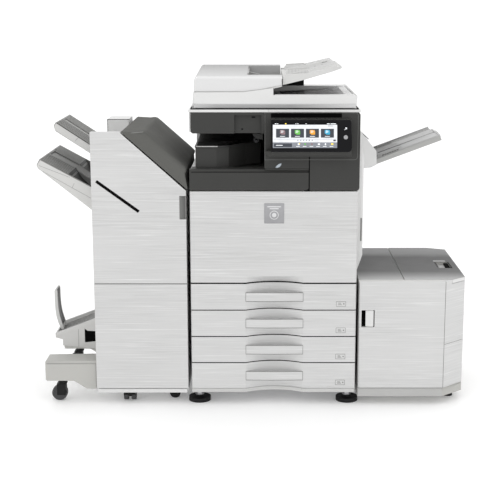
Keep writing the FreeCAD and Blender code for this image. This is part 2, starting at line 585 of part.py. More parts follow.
# ---------------------------------------------------------------- finisher
def finisher():
    """The staple finisher: cabinet, door, dark top cover, trays, outriggers and casters."""
    cabinet = Piece("finisher_cabinet")
    cabinet.pad("y", [("fin_x0", "fin_z"), ("fin_x1", "fin_z"), ("fin_x1", "fin_low-6"),
                      ("fin_peak_x-2", "fin_top-8"), ("fin_x0", "fin_top-8")], 30, "fin_d")
    cabinet.hollow("fin_x0-1", "fin_peak_x-4", 76, "fin_d+1", "fin_top-60", "fin_top")
    cabinet.box("fin_x0+14", "fin_peak_x-6", 352, 470, "fin_top-62", "fin_top+10")
    cabinet.cut("y", [("fin_x0+14", 80), ("fin_x1-14", 80), ("fin_x1-14", "fin_low-60"),
                      ("fin_x0+120", "fin_low+40"), ("fin_x0+14", "fin_low+40")], 28, 200)
    cabinet.cut("y", [("fin_x0+5", "fin_z+5"), ("fin_x1-5", "fin_z+5"), ("fin_x1-5", "fin_low-16"),
                      ("fin_peak_x+52", "fin_top-72"), ("fin_x0+5", "fin_top-72")], 206, "fin_d-5")
    cabinet.box("fin_x0+4", "fin_x1-4", 4, 32, "fin_z", "fin_door_z-3")
    door = Piece("finisher_door")
    door.pad("y", [("fin_x0", "fin_door_z"), ("fin_x1", "fin_door_z"), ("fin_x1", "fin_low-3"),
                   ("fin_peak_x", "fin_top"), ("fin_x0", "fin_top")], 0, 26)
    door.cut("y", [("fin_x0+20", 779), ("fin_x0+14", 771), ("fin_x0+153", 669), ("fin_x0+159", 677)], -1, 12)
    door.hollow("fin_x1-22", "fin_x1+1", -1, 14, 647, 726)
    door.hollow("fin_x0-1", "fin_x1+1", -1, 2, "fin_seam_z-1", "fin_seam_z+1")
    cover = Piece("finisher_top_cover")
    cover.pad("y", [("fin_peak_x+2", "fin_top+1"), ("fin_flat_x", "fin_top+1"), ("fin_x1+3", "fin_cap_z"),
                    ("fin_x1+3", "fin_low")], 0, "fin_d-2")
    cover.cut("y", [("fin_peak_x+16", "fin_top-8"), ("fin_flat_x-3", "fin_top-6"),
                    ("fin_x1-5", "fin_cap_z-4"), ("fin_x1-5", "fin_low+2"), ("fin_x1-12", "fin_low-4")],
              8, "fin_d-10")
    upper = Piece("upper_output_tray")
    upper.pad("y", [("fin_x0", 868), (-738, 956), (-746, 945), (-741, 926), ("fin_x0", 836)], 145, 440)
    upper.cut("y", [("fin_x0+1", 861), (-732, 945), (-740, 980), ("fin_x0+1", 980)], 280, 325)
    lift = Piece("lift_tray")
    lift.pad("y", [("fin_x0-1", 742), (-784, 840), (-795, 820), (-790, 808), ("fin_x0-1", 660)], 70, 480)
    lift.cut("y", [("fin_x0", 728), (-640, 746), (-690, 781), (-776, 828), (-790, 880), ("fin_x0", 880)],
             238, 330)
    for y0, y1 in ((76, 239), (329, 474)):
        lift.cut("y", [("fin_x0", 708), (-640, 720), (-672, 752), (-690, 789), (-690, 880), ("fin_x0", 880)],
                 y0, y1)
    booklet = Piece("booklet_tray")
    booklet.pad("y", [("fin_x0", 158), ("fin_x0", 279), (-763, 219), (-763, 203), (-738, 196), (-738, 174),
                      (-672, 168)], 130, 293)
    booklet.cut("y", [("fin_x0+1", 268), (-757, 208.5), (-757, 320), ("fin_x0+1", 320)], 138, 285)
    stopper = Piece("booklet_stopper")
    stopper.pad("y", [(-743, 219), (-751, 216), (-765, 250), (-771, 300), (-771, 358), (-767, 363),
                      (-762, 361), (-761, 305), (-756, 258)], 190, 250)
    arms = []
    for i, y0 in enumerate((14, 404)):
        arm = Piece("arm_%d" % i)
        arm.pad("y", [("arm_x", 86), ("arm_x", 150), ("fin_x0", 153), ("fin_x0", 54), (-640, 54),
                      (-684, 82), ("arm_x+4", 82)], y0, y0 + 90)
        arms.append(unlisted(arm))
    group("outrigger_arms", arms)
    casters()


def casters():
    """Forks and wheels: two under the outriggers, two under the cabinet and a plain glide."""
    forks = []
    for y in (59, 449):
        name = "fork_%d" % len(forks)
        stem = cylinder(name + "_stem", "z", ("caster_x+12", y, "caster_r*2+4"), 9, "82-caster_r*2-4")
        cheeks = [block(name + "_cheek_%d" % k, "caster_x-8", "caster_x+22", side, side + 4, "caster_r-6",
                        "caster_r*2+8") for k, side in enumerate((y - 16, y + 12))]
        crown = block(name + "_crown", "caster_x-8", "caster_x+22", y - 16, y + 16, "caster_r*2+3",
                      "caster_r*2+8")
        axle = cylinder(name + "_axle", "y", ("caster_x", y - 16, "caster_r"), 4, 32)
        forks.append(fuse(name, [stem, crown, axle] + cheeks))
    post = block("twin_post", "cab_caster_x-4", "cab_caster_x+4", "cab_caster_y-8", "cab_caster_y+8",
                 "cab_caster_r-6", "fin_z")
    axle = cylinder("twin_axle", "x", ("cab_caster_x-22", "cab_caster_y", "cab_caster_r"), 4, 44)
    forks.append(fuse("twin_fork", [post, axle]))
    disc = cylinder("roller_fin_disc", "y", (-342, 77, "cab_caster_r"), "cab_caster_r", 16)
    bracket = block("roller_fin_post", -346, -338, 80, 90, 24, "fin_z")
    forks.append(fuse("roller_fin", [disc, bracket]))
    forks.append(cylinder("glide_fin", "z", (-336, 500, 0), 14, "fin_z"))
    forks.append(cylinder("glide_fin_left", "z", (-560, 500, 0), 14, "fin_z"))
    group("caster_forks", forks)
    rollers = []
    for y in (59, 449):
        rollers.append(wheel("outer_wheel_%d" % len(rollers), "y", ("caster_x", y - 11, "caster_r"),
                             "caster_r", 22))
    group("outrigger_wheels", rollers)
    twins = []
    for start in ("cab_caster_x-20", "cab_caster_x+5"):
        twins.append(wheel("cab_wheel_%d" % len(twins), "x", (start, "cab_caster_y", "cab_caster_r"),
                           "cab_caster_r", 15))
    group("cabinet_wheels", twins)


def wheel(name, axis, at, radius, width):
    """A wheel with a running hole for its 4 mm axle."""
    tyre = cylinder(name + "_tyre", axis, at, radius, width)
    bore = cylinder(name + "_bore", axis, at, 4.06, width)
    item = doc.addObject("Part::Cut", name)
    item.Base = tyre
    item.Tool = bore
    return item


main_frame()
levelling_feet()
side_covers()
drawer_runners()
bay_pieces()
engine_pieces()
scanner()
front_cover()
for level in range(COUNT_DRAWERS):
    drawer(level)
control_panel()
side_door()
bypass()
document_feeder()
cassette()
finisher()
doc.recompute()

faults = ["%s: %s" % (item.Name, item.State) for item in doc.Objects
          if "Invalid" in item.State or "Error" in item.State]
for node in NODES:
    if node.Shape.isNull() or not node.Shape.isValid():
        faults.append(node.Label + " has no valid shape")
    if node.Shape.Solids == []:
        faults.append(node.Label + " has no solid")
if faults:
    raise RuntimeError("; ".join(faults))

os.makedirs("parts", exist_ok=True)
for node in NODES:
    node.Shape.exportStep("parts/%s.step" % node.Label)
print("%d nodes written" % len(NODES))
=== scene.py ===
"""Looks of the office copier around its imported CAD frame: camera, light, materials and fine pieces."""
import json
import math

import bmesh
import bpy
from mathutils import Matrix, Vector

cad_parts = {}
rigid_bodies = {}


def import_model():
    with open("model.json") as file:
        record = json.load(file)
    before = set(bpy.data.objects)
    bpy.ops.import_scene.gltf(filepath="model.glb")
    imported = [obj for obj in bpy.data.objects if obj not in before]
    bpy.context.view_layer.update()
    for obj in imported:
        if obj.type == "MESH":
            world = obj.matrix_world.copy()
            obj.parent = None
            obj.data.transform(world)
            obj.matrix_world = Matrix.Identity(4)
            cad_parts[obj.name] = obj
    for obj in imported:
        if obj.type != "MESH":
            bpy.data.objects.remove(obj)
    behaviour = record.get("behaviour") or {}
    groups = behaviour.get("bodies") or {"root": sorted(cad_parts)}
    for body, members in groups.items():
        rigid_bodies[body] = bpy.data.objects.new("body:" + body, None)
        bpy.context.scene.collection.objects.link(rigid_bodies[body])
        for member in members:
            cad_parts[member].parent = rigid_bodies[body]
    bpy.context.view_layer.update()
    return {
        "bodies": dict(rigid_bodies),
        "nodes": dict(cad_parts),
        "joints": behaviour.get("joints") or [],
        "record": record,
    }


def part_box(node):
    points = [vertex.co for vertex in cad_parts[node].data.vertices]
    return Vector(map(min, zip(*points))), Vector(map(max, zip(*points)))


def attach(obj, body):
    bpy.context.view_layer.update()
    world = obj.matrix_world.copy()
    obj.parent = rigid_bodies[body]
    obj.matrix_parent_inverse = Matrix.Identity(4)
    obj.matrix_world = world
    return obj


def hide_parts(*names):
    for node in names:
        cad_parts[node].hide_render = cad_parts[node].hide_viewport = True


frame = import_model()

MM = 0.001

# The main unit's middle and the plane of its drawer fronts, read from the frame.
_low, _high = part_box("front_cover")
MID_X = (_low[0] + _high[0]) / 2
FRONT_Y = _low[1]
REAR = (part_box("rear_cover")[1][1] - FRONT_Y) / MM


def at(x, y, z):
    """A point in millimetres from the main unit's middle, its front plane and the floor."""
    return Vector((MID_X + x * MM, FRONT_Y + y * MM, z * MM))


# ------------------------------------------------------------------ materials
def shade(colour, factor):
    return tuple(min(1.0, c * factor) for c in colour)


class Shader:
    """A node material with a Principled shader, built up by short calls."""

    def __init__(self, rough=0.5, metal=0.0, ior=1.46, spec=0.5):
        self.material = bpy.data.materials.new("look")
        self.material.use_nodes = True
        self.tree = self.material.node_tree
        self.shader = self.tree.nodes["Principled BSDF"]
        for key, value in (("Roughness", rough), ("Metallic", metal), ("IOR", ior),
                           ("Specular IOR Level", spec)):
            self.shader.inputs[key].default_value = value
        self.coord = self.add("ShaderNodeTexCoord")

    def add(self, kind, **values):
        node = self.tree.nodes.new(kind)
        for key, value in values.items():
            if key in node.inputs:
                node.inputs[key].default_value = value
            else:
                setattr(node, key, value)
        return node

    def feed(self, socket, value):
        """Link an output into a socket, or set the socket's own number or colour."""
        if hasattr(value, "is_linked"):
            self.tree.links.new(value, socket)
        else:
            socket.default_value = (*value, 1.0) if isinstance(value, tuple) else value

    def noise(self, scale, detail=2.0, rough=0.5):
        """Noise in object coordinates, with one scale or one for each axis."""
        node = self.add("ShaderNodeTexNoise", Scale=1.0, Detail=detail, Roughness=rough)
        mapping = self.add("ShaderNodeMapping", Scale=scale if isinstance(scale, tuple) else (scale,) * 3)
        self.feed(mapping.inputs["Vector"], self.coord.outputs["Object"])
        self.feed(node.inputs["Vector"], mapping.outputs["Vector"])
        return node.outputs["Fac"]

    def ramp(self, value, stops):
        """A colour ramp through (position, colour) stops."""
        node = self.add("ShaderNodeValToRGB")
        marks = node.color_ramp.elements
        while len(marks) < len(stops):
            marks.new(0.5)
        for mark, (position, colour) in zip(marks, stops):
            mark.position = position
            mark.color = (*colour, 1.0)
        self.feed(node.inputs["Fac"], value)
        return node.outputs["Color"]

    def tones(self, value, colour, dark, light, low=0.3, high=0.7):
        """A colour that varies between a darker and a lighter shade of itself."""
        return self.ramp(value, [(low, shade(colour, dark)), (high, shade(colour, light))])

    def levels(self, value, low, high, out_low, out_high):
        node = self.add("ShaderNodeMapRange")
        for key, number in zip(("From Min", "From Max", "To Min", "To Max", "Value"),
                               (low, high, out_low, out_high, value)):
            self.feed(node.inputs[key], number)
        return node.outputs["Result"]

    def mix(self, factor, first, second):
        node = self.add("ShaderNodeMix", data_type="RGBA")
        for place, value in ((0, factor), (6, first), (7, second)):
            self.feed(node.inputs[place], value)
        return node.outputs[2]

    def math(self, operation, first, second):
        node = self.add("ShaderNodeMath", operation=operation)
        self.feed(node.inputs[0], first)
        self.feed(node.inputs[1], second)
        return node.outputs[0]

    def finish(self, bump, strength, distance, **sockets):
        """Feed the shader's named sockets and its bump; a name's underscores stand for spaces."""
        for key, value in sockets.items():
            self.feed(self.shader.inputs[key.replace("_", " ")], value)
        node = self.add("ShaderNodeBump", Strength=strength, Distance=distance)
        self.feed(node.inputs["Height"], bump)
        self.feed(self.shader.inputs["Normal"], node.outputs["Normal"])
        return self.material

    def worn(self, rough):
        """Roughness with faint handling marks."""
        return self.levels(self.noise(14.0, detail=4.0), 0.3, 0.7, rough - 0.06, rough + 0.07)


def plastic(colour, rough=0.45, grain=900.0, depth=0.25, variation=0.04, spec=0.5):
    """Moulded plastic: a fine spark-eroded grain, slow tone changes and faint handling marks."""
    m = Shader(rough, spec=spec)
    tone = m.tones(m.noise(3.0, detail=3.0), colour, 1 - variation, 1 + variation)
    grit = m.noise(grain, detail=1.0)
    return m.finish(grit, depth, 0.0002, Base_Color=tone, Roughness=m.worn(rough))


def streaked(colour, rough=0.42):
    """White panel with the fine horizontal brush lines of the front covers, and lighter streaks of painted
    glint in its colour.
    """
    m = Shader(rough)
    long = m.noise((5.0, 5.0, 420.0), detail=3.0, rough=0.6)
    short = m.noise((16.0, 16.0, 900.0))
    patches = m.noise((2.2, 2.2, 9.0))
    lines = m.math("MULTIPLY", m.levels(long, 0.46, 0.66, 0.0, 1.0),
                   m.levels(patches, 0.38, 0.62, 0.0, 1.0))
    fine = m.math("ADD", lines, m.math("MULTIPLY", m.levels(short, 0.56, 0.72, 0.0, 1.0), 0.35))
    base = m.tones(m.noise(1.6), colour, 0.975, 1.02)
    dark = m.mix(m.math("MULTIPLY", fine, 0.6), base, shade(colour, 0.80))
    # Lighter streaks mixed into the base colour are a painted glint.
    painted_glint = m.noise((4.0, 4.0, 300.0), detail=3.0, rough=0.65)
    tone = m.mix(m.levels(painted_glint, 0.54, 0.70, 0.0, 0.9), dark, shade(colour, 1.2))
    matt = m.levels(long, 0.3, 0.7, rough - 0.08, rough + 0.1)
    return m.finish(fine, 0.45, 0.0004, Base_Color=tone, Roughness=matt)


def metal(colour, rough=0.35, along=(6.0, 6.0, 500.0)):
    """Sheet metal with a directional rolling grain."""
    m = Shader(rough, metal=1.0)
    grain = m.noise(along)
    tone = m.tones(grain, colour, 0.9, 1.06, 0.35, 0.65)
    matt = m.levels(grain, 0.3, 0.7, rough - 0.08, rough + 0.1)
    return m.finish(grain, 0.12, 0.0002, Base_Color=tone, Roughness=matt)


def gloss(colour, rough=0.08, spec=0.5):
    """Polished plastic or glass with a few faint smears."""
    m = Shader(rough, spec=spec)
    cloud = m.noise(9.0, detail=5.0)
    tone = m.tones(cloud, colour, 0.85, 1.2)
    matt = m.levels(cloud, 0.35, 0.7, rough, rough + 0.1)
    return m.finish(m.noise(60.0), 0.02, 0.0001, Base_Color=tone, Roughness=matt)


def clear_glass():
    m = Shader(0.03, ior=1.5)
    tone = m.ramp(m.noise(5.0), [(0.3, (0.80, 0.87, 0.86)), (0.7, (0.86, 0.91, 0.90))])
    return m.finish(m.noise(40.0), 0.01, 0.0001, Base_Color=tone, Transmission_Weight=0.92)


def glow(colour, strength):
    """Lit display colour under glass, with a very fine grid in its brightness."""
    m = Shader(0.25)
    tint = m.tones(m.noise(60.0, detail=1.0), colour, 0.94, 1.04)
    m.feed(m.shader.inputs["Base Color"], tint)
    m.feed(m.shader.inputs["Emission Color"], tint)
    m.feed(m.shader.inputs["Emission Strength"], strength)
    return m.material


def painted_shading(start, end, stops, rough=0.4, spec=0.5, axis=0):
    """Plastic with painted light and shade: its tone changes across (axis 0) or along (axis 1) the machine,
    between two distances.
    """
    m = Shader(rough, spec=spec)
    split = m.add("ShaderNodeSeparateXYZ")
    m.feed(split.inputs[0], m.coord.outputs["Object"])
    place = m.levels(split.outputs[axis], at(start, start, 0)[axis], at(end, end, 0)[axis], 0.0, 1.0)
    tone = m.ramp(place, [(where, (grey, grey, grey)) for where, grey in stops])
    matt = m.worn(rough)
    return m.finish(m.noise(900.0, detail=1.0), 0.2, 0.0002, Base_Color=tone, Roughness=matt)


MATERIALS = {
    "white_panel": plastic((0.665, 0.665, 0.66)),
    "streaked": streaked((0.575, 0.575, 0.572)),
    "dark_panel": plastic((0.042, 0.042, 0.040), 0.42, depth=0.35, variation=0.08, spec=0.25),
    "tray_grey": plastic((0.21, 0.21, 0.203), 0.5),
    "warm_grey": plastic((0.44, 0.436, 0.415), 0.5),
    "light_grey": plastic((0.53, 0.53, 0.52), 0.48),
    "mid_grey": plastic((0.20, 0.20, 0.195)),
    "black_plastic": plastic((0.012, 0.012, 0.012), 0.5, variation=0.15, spec=0.2),
    "gloss_black": gloss((0.006, 0.006, 0.007), spec=0.12),
    "display_glass": gloss((0.005, 0.005, 0.006), 0.05, 0.1),
    "key_chrome": gloss((0.30, 0.30, 0.31), 0.3),
    "frame_steel": metal((0.55, 0.55, 0.56)),
    "aluminium": metal((0.68, 0.68, 0.69), 0.3, (500.0, 6.0, 500.0)),
    "white_foam": plastic((0.82, 0.82, 0.81), 0.8, 400.0, 0.6),
    "rubber": plastic((0.028, 0.028, 0.03), 0.7, depth=0.6, variation=0.2),
    "seam_black": plastic((0.003, 0.003, 0.003), 0.9, spec=0.05),
    "seam_soft": plastic((0.20, 0.20, 0.195), 0.9, spec=0.1),
    "wheel_grey": plastic((0.055, 0.055, 0.057), 0.6, depth=0.4, variation=0.12),
    "hood_grey": plastic((0.115, 0.115, 0.108), 0.7, depth=0.3, variation=0.03, spec=0.05),
    "rib_grey": plastic((0.27, 0.27, 0.26), 0.5),
    # Near-black strips beside the tray ribs: painted shade standing in for grooves.
    "groove_painted_shade": plastic((0.035, 0.035, 0.034), 0.7, spec=0.2),
    "scoop_grey": plastic((0.06, 0.06, 0.058), 0.5, spec=0.2),
    "paper": plastic((0.74, 0.74, 0.725), 0.85, 300.0, 0.5),
    "lever_blue": plastic((0.03, 0.12, 0.38), 0.4),
    "lever_green": plastic((0.04, 0.30, 0.12), 0.4),
    "dark_lid": plastic((0.03, 0.03, 0.029), 0.32, variation=0.1, spec=0.4),
    "tray_top": plastic((0.58, 0.58, 0.57), 0.6, spec=0.1),
    "chute_grey": plastic((0.30, 0.30, 0.295), 0.4),
    "tray_light": plastic((0.38, 0.38, 0.37), 0.55, spec=0.15),
    # A lighter copy of warm grey, used as painted light on the front faces of the tray skirts and the
    # cassette's front rim.
    "warm_painted_light": plastic((0.56, 0.557, 0.545)),
    "plinth_grey": plastic((0.42, 0.42, 0.412), 0.5),
    "badge_grey": gloss((0.30, 0.30, 0.31), 0.3),
    "badge_bright": gloss((0.62, 0.62, 0.63), 0.2),
    "lamp_lens": gloss((0.42, 0.47, 0.52), 0.12),
    "toner_black": plastic((0.02, 0.02, 0.02)),
    "toner_cyan": plastic((0.01, 0.32, 0.55)),
    "toner_magenta": plastic((0.55, 0.03, 0.22)),
    "toner_yellow": plastic((0.72, 0.52, 0.02)),
    "ui_white": glow((0.50, 0.51, 0.53), 0.75),
    "ui_grey": glow((0.16, 0.17, 0.19), 0.6),
    "ui_dark": glow((0.03, 0.035, 0.045), 0.4),
    "ui_pale": glow((0.62, 0.64, 0.66), 0.8),
    "ui_yellow": glow((0.75, 0.55, 0.06), 0.8),
    "ui_green": glow((0.10, 0.36, 0.06), 0.5),
    "ui_rose": glow((0.20, 0.13, 0.14), 0.4),
    "ui_orange": glow((0.62, 0.27, 0.02), 0.5),
    "ui_cyan": glow((0.03, 0.27, 0.42), 0.5),
    "glass": clear_glass(),
    # The exit floor's look is painted shade and light: near black at the left end, rising to pale grey at
    # the right.
    "exit_floor_painted_shade": painted_shading(0, 262, [(0, 0.006), (0.3, 0.012), (0.5, 0.07), (0.75, 0.16), (1, 0.46)], 0.25),
    # The undercut's tone across the machine is painted shade: lighter at both ends, darker in the middle.
    "undercut": painted_shading(-270, 275, [(0, 0.52), (0.15, 0.36), (0.6, 0.32), (0.95, 0.60)]),
    # The cassette top's tone is painted light and shade: light at the front edge, dark across the middle, a
    # little lighter at the back.
    "cassette_top_painted_shade": painted_shading(0, 560, [(0, 0.50), (0.08, 0.42), (0.14, 0.31), (0.26, 0.16), (0.68, 0.13),
                                    (0.80, 0.24), (1, 0.28)], 0.6, 0.08, axis=1),
    # The bypass tray's top is painted shade near the machine, lightening towards its outer end.
    "bypass_top_painted_shade": painted_shading(330, 585, [(0, 0.13), (0.35, 0.24), (0.7, 0.40), (1, 0.46)], spec=0.15),
    # The feeder cover's top carries a painted highlight along its front edge and painted shade darkening
    # towards the back.
    "feeder_top_painted_light": painted_shading(14, 470, [(0, 0.665), (0.02, 0.74), (0.06, 0.60), (1, 0.38)], 0.6, 0.1, axis=1),
}

for _look, _material in MATERIALS.items():
    _material.name = _look + "_look"

# CAD nodes whose look differs from the plain finish of their slot.
LOOKS = {"finisher_door": "streaked", "lcc_front_cover": "streaked", "document_guide_front": "white_panel",
         "document_guide_rear": "white_panel", "booklet_tray": "light_grey", "document_tray": "tray_top",
         "adf_feeder_cover": "feeder_top_painted_light", "bypass_tray": "bypass_top_painted_shade", "bypass_extension": "bypass_top_painted_shade",
         "bypass_guide_front": "mid_grey", "bypass_guide_rear": "mid_grey"}


# ------------------------------------------------------------------ mesh making
def placed(name, data):
    """A new object in the scene."""
    thing = bpy.data.objects.new(name, data)
    bpy.context.scene.collection.objects.link(thing)
    return thing


def bevel(piece, width, angle, harden):
    """Round the edges of a piece that are sharper than an angle in degrees."""
    edge = piece.modifiers.new("bevel", "BEVEL")
    edge.width = width * MM
    edge.segments = 2
    edge.limit_method = "ANGLE"
    edge.angle_limit = math.radians(angle)
    edge.harden_normals = harden


WELD = 0.00002
NODE_EDGE, NODE_ANGLE = 1.2, 32


def dress_nodes():
    """Give every CAD node its procedural material, welded corners and softened edges."""
    slots = {row["node"]: row["material_slot"] for row in frame["record"]["subparts"]}
    for name, node in frame["nodes"].items():
        node.data.materials.clear()
        node.data.materials.append(MATERIALS[LOOKS.get(name, slots[name])])
        node.modifiers.new("weld", "WELD").merge_threshold = WELD
        bevel(node, NODE_EDGE, NODE_ANGLE, False)


SIDES = {"back": ((-1, 0, 0), (0, 0, 1)), "right": ((0, 1, 0), (0, 0, 1)), "left": ((0, -1, 0), (0, 0, 1)),
         "top": ((1, 0, 0), (0, 1, 0)), "under": ((1, 0, 0), (0, -1, 0))}


def plane(origin, u, v):
    """A millimetre frame at a point: its X runs along u, its Y along v and its Z out of the surface."""
    u = Vector(u).normalized()
    v = Vector(v).normalized()
    turn = Matrix((u, v, u.cross(v))).transposed().to_4x4()
    return Matrix.Translation(at(*origin)) @ turn @ Matrix.Scale(MM, 4)


def front(y=0, x=0, z=0):
    """A frame that faces forward, seen from outside."""
    return plane((x, y, z), (1, 0, 0), (0, 0, 1))


def side(name, x, y, z):
    """A frame on one of the other five sides, seen from outside."""
    return plane((x, y, z), *SIDES[name])


def right(x, y=0, z=0):
    return side("right", x, y, z)


WORLD = side("top", 0, 0, 0)
CORNER_STEPS = 5
ROD_SIDES = 14


def rounded(u0, u1, v0, v1, r):
    """A rectangle with rounded corners; r may give the four radii from the low left corner round."""
    radii = r if isinstance(r, tuple) else (r,) * 4
    corners = ((u0, v0, 1, 1, 180), (u1, v0, -1, 1, 270), (u1, v1, -1, -1, 0), (u0, v1, 1, -1, 90))
    points = []
    for (u, v, to_u, to_v, start), radius in zip(corners, radii):
        for k in range(CORNER_STEPS + 1 if radius else 1):
            turn = math.radians(start + 90 * k / CORNER_STEPS)
            points.append((u + radius * (to_u + math.cos(turn)), v + radius * (to_v + math.sin(turn))))
    return points


def circle(u, v, radius, steps=28):
    turns = [2 * math.pi * k / steps for k in range(steps)]
    return [(u + radius * math.cos(t), v + radius * math.sin(t)) for t in turns]


def mirrored(profile):
    """A turned profile continued by its own mirror image."""
    return profile + [(radius, -height) for radius, height in reversed(profile)]


def spread(start, end, count):
    """Evenly spaced numbers, both ends included."""
    return [start + (end - start) * k / (count - 1) for k in range(count)]


class Build:
    """One named piece, gathered from solids in millimetres and finished with the others at the end."""

    every = []

    def __init__(self, name, body, look, edge=0, replaces=None, smooth=34):
        self.name, self.body, self.look, self.edge = name, body, look, edge
        self.replaces, self.smooth = replaces, smooth
        self.mesh = bmesh.new()
        Build.every.append(self)

    def prism(self, frame, outline, low, high, holes=()):
        """An outline with any holes, from low to high along the frame's normal."""
        levels = []
        for height in (low, high):
            loops = [[self.mesh.verts.new(frame @ Vector((u, v, height))) for u, v in loop]
                     for loop in (outline, *holes)]
            levels.append(loops)
            if holes:
                edges = [self.mesh.edges.new(pair) for loop in loops
                         for pair in zip(loop, loop[1:] + loop[:1])]
                bmesh.ops.triangle_fill(self.mesh, edges=edges, use_beauty=True)
            else:
                self.mesh.faces.new(loops[0])
        for below, above in zip(*levels):
            for k, spot in enumerate(below):
                self.mesh.faces.new((below[k - 1], spot, above[k], above[k - 1]))
        return self

    def plate(self, frame, u0, u1, v0, v1, radius, low, high, *holes):
        """A plate with rounded corners, and holes given in the same way."""
        return self.prism(frame, rounded(u0, u1, v0, v1, radius), low, high,
                          [rounded(*hole) for hole in holes])

    def ring(self, frame, u0, u1, v0, v1, radius, wall, inner, low, high):
        """A rounded plate opened up to an even wall."""
        return self.plate(frame, u0, u1, v0, v1, radius, low, high,
                          (u0 + wall, u1 - wall, v0 + wall, v1 - wall, inner))

    def box(self, frame, u0, u1, v0, v1, low, high):
        return self.plate(frame, u0, u1, v0, v1, 0, low, high)

    def rows(self, frame, u0, u1, places, half, low, high, radius=0):
        """Bars along u, at places across it."""
        for v in places:
            self.plate(frame, u0, u1, v - half, v + half, radius, low, high)
        return self

    def columns(self, frame, places, half, v0, v1, low, high, radius=0):
        """Bars along v, at places across it."""
        for u in places:
            self.plate(frame, u - half, u + half, v0, v1, radius, low, high)
        return self

    def loft(self, sections, frame=WORLD):
        """A skin through closed sections of equally many points, with both ends shut."""
        rows = [[self.mesh.verts.new(frame @ Vector(point)) for point in section] for section in sections]
        for first, second in zip(rows, rows[1:]):
            for k in range(len(first)):
                self.mesh.faces.new((first[k - 1], first[k], second[k], second[k - 1]))
        self.mesh.faces.new(rows[0])
        self.mesh.faces.new(rows[-1])
        return self

    def extrude(self, places, profile, frame=WORLD):
        """One profile carried through places along the frame's X."""
        return self.loft([[(x, *point) for point in profile] for x in places], frame)

    def lathe(self, frame, profile, steps=40):
        """A turned solid about the frame's normal, from (radius, height) points."""
        return self.loft([[(u, v, height) for u, v in circle(0, 0, radius, steps)]
                          for radius, height in profile], frame)

    def rod(self, start, end, radius):
        """A round bar between two points."""
        start, end = Vector(start), Vector(end)
        along = end - start
        across = along.cross(Vector((0.31, 0.87, 0.38)))
        frame = plane(start, across, along.cross(across))
        return self.lathe(frame, [(radius, 0), (radius, along.length)], ROD_SIDES)

    def finish(self):
        """Outward normals, sharp edges by angle, material, bevel, body and the node it stands for."""
        bmesh.ops.recalc_face_normals(self.mesh, faces=self.mesh.faces)
        data = bpy.data.meshes.new(self.name)
        self.mesh.to_mesh(data)
        self.mesh.free()
        data.polygons.foreach_set("use_smooth", [True] * len(data.polygons))
        data.set_sharp_from_angle(angle=math.radians(self.smooth))
        data.materials.append(MATERIALS[self.look])
        piece = placed(self.name, data)
        if self.edge:
            bevel(piece, self.edge, self.smooth, True)
        else:
            piece.modifiers.new("flat_faces", "WEIGHTED_NORMAL").keep_sharp = True
        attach(piece, self.body)
        if self.replaces:
            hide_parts(self.replaces)


# ------------------------------------------------------------------ drawers and front cover
HALF = 279.0
PITCH = 92.3
DRAWER_Z = 59.0
BOWL_X = 3.0
BOWL_HALF = 97.0
BOWL_DEEP = 27.0
CORNER = 6.0
GAP = 1.5


def bowl(x):
    """How far the grip zone of the fronts is scooped in: an arc of a circle seen from above."""
    if abs(x - BOWL_X) >= BOWL_HALF:
        return 0.0
    radius = (BOWL_HALF ** 2 + BOWL_DEEP ** 2) / (2 * BOWL_DEEP)
    return math.sqrt(radius ** 2 - (x - BOWL_X) ** 2) - (radius - BOWL_DEEP)


def corner(x):
    """The front's set-back at its rounded upright edges."""
    into = CORNER - (HALF - abs(x))
    return CORNER - math.sqrt(CORNER ** 2 - into ** 2) if into > 0 else 0.0


BOWL_XS = spread(BOWL_X - BOWL_HALF, BOWL_X + BOWL_HALF, 27)
EDGE_XS = [HALF - CORNER * f for f in (1.0, 0.7, 0.4, 0.15, 0.0)]
FRONT_XS = [-x for x in reversed(EDGE_XS)] + BOWL_XS + EDGE_XS


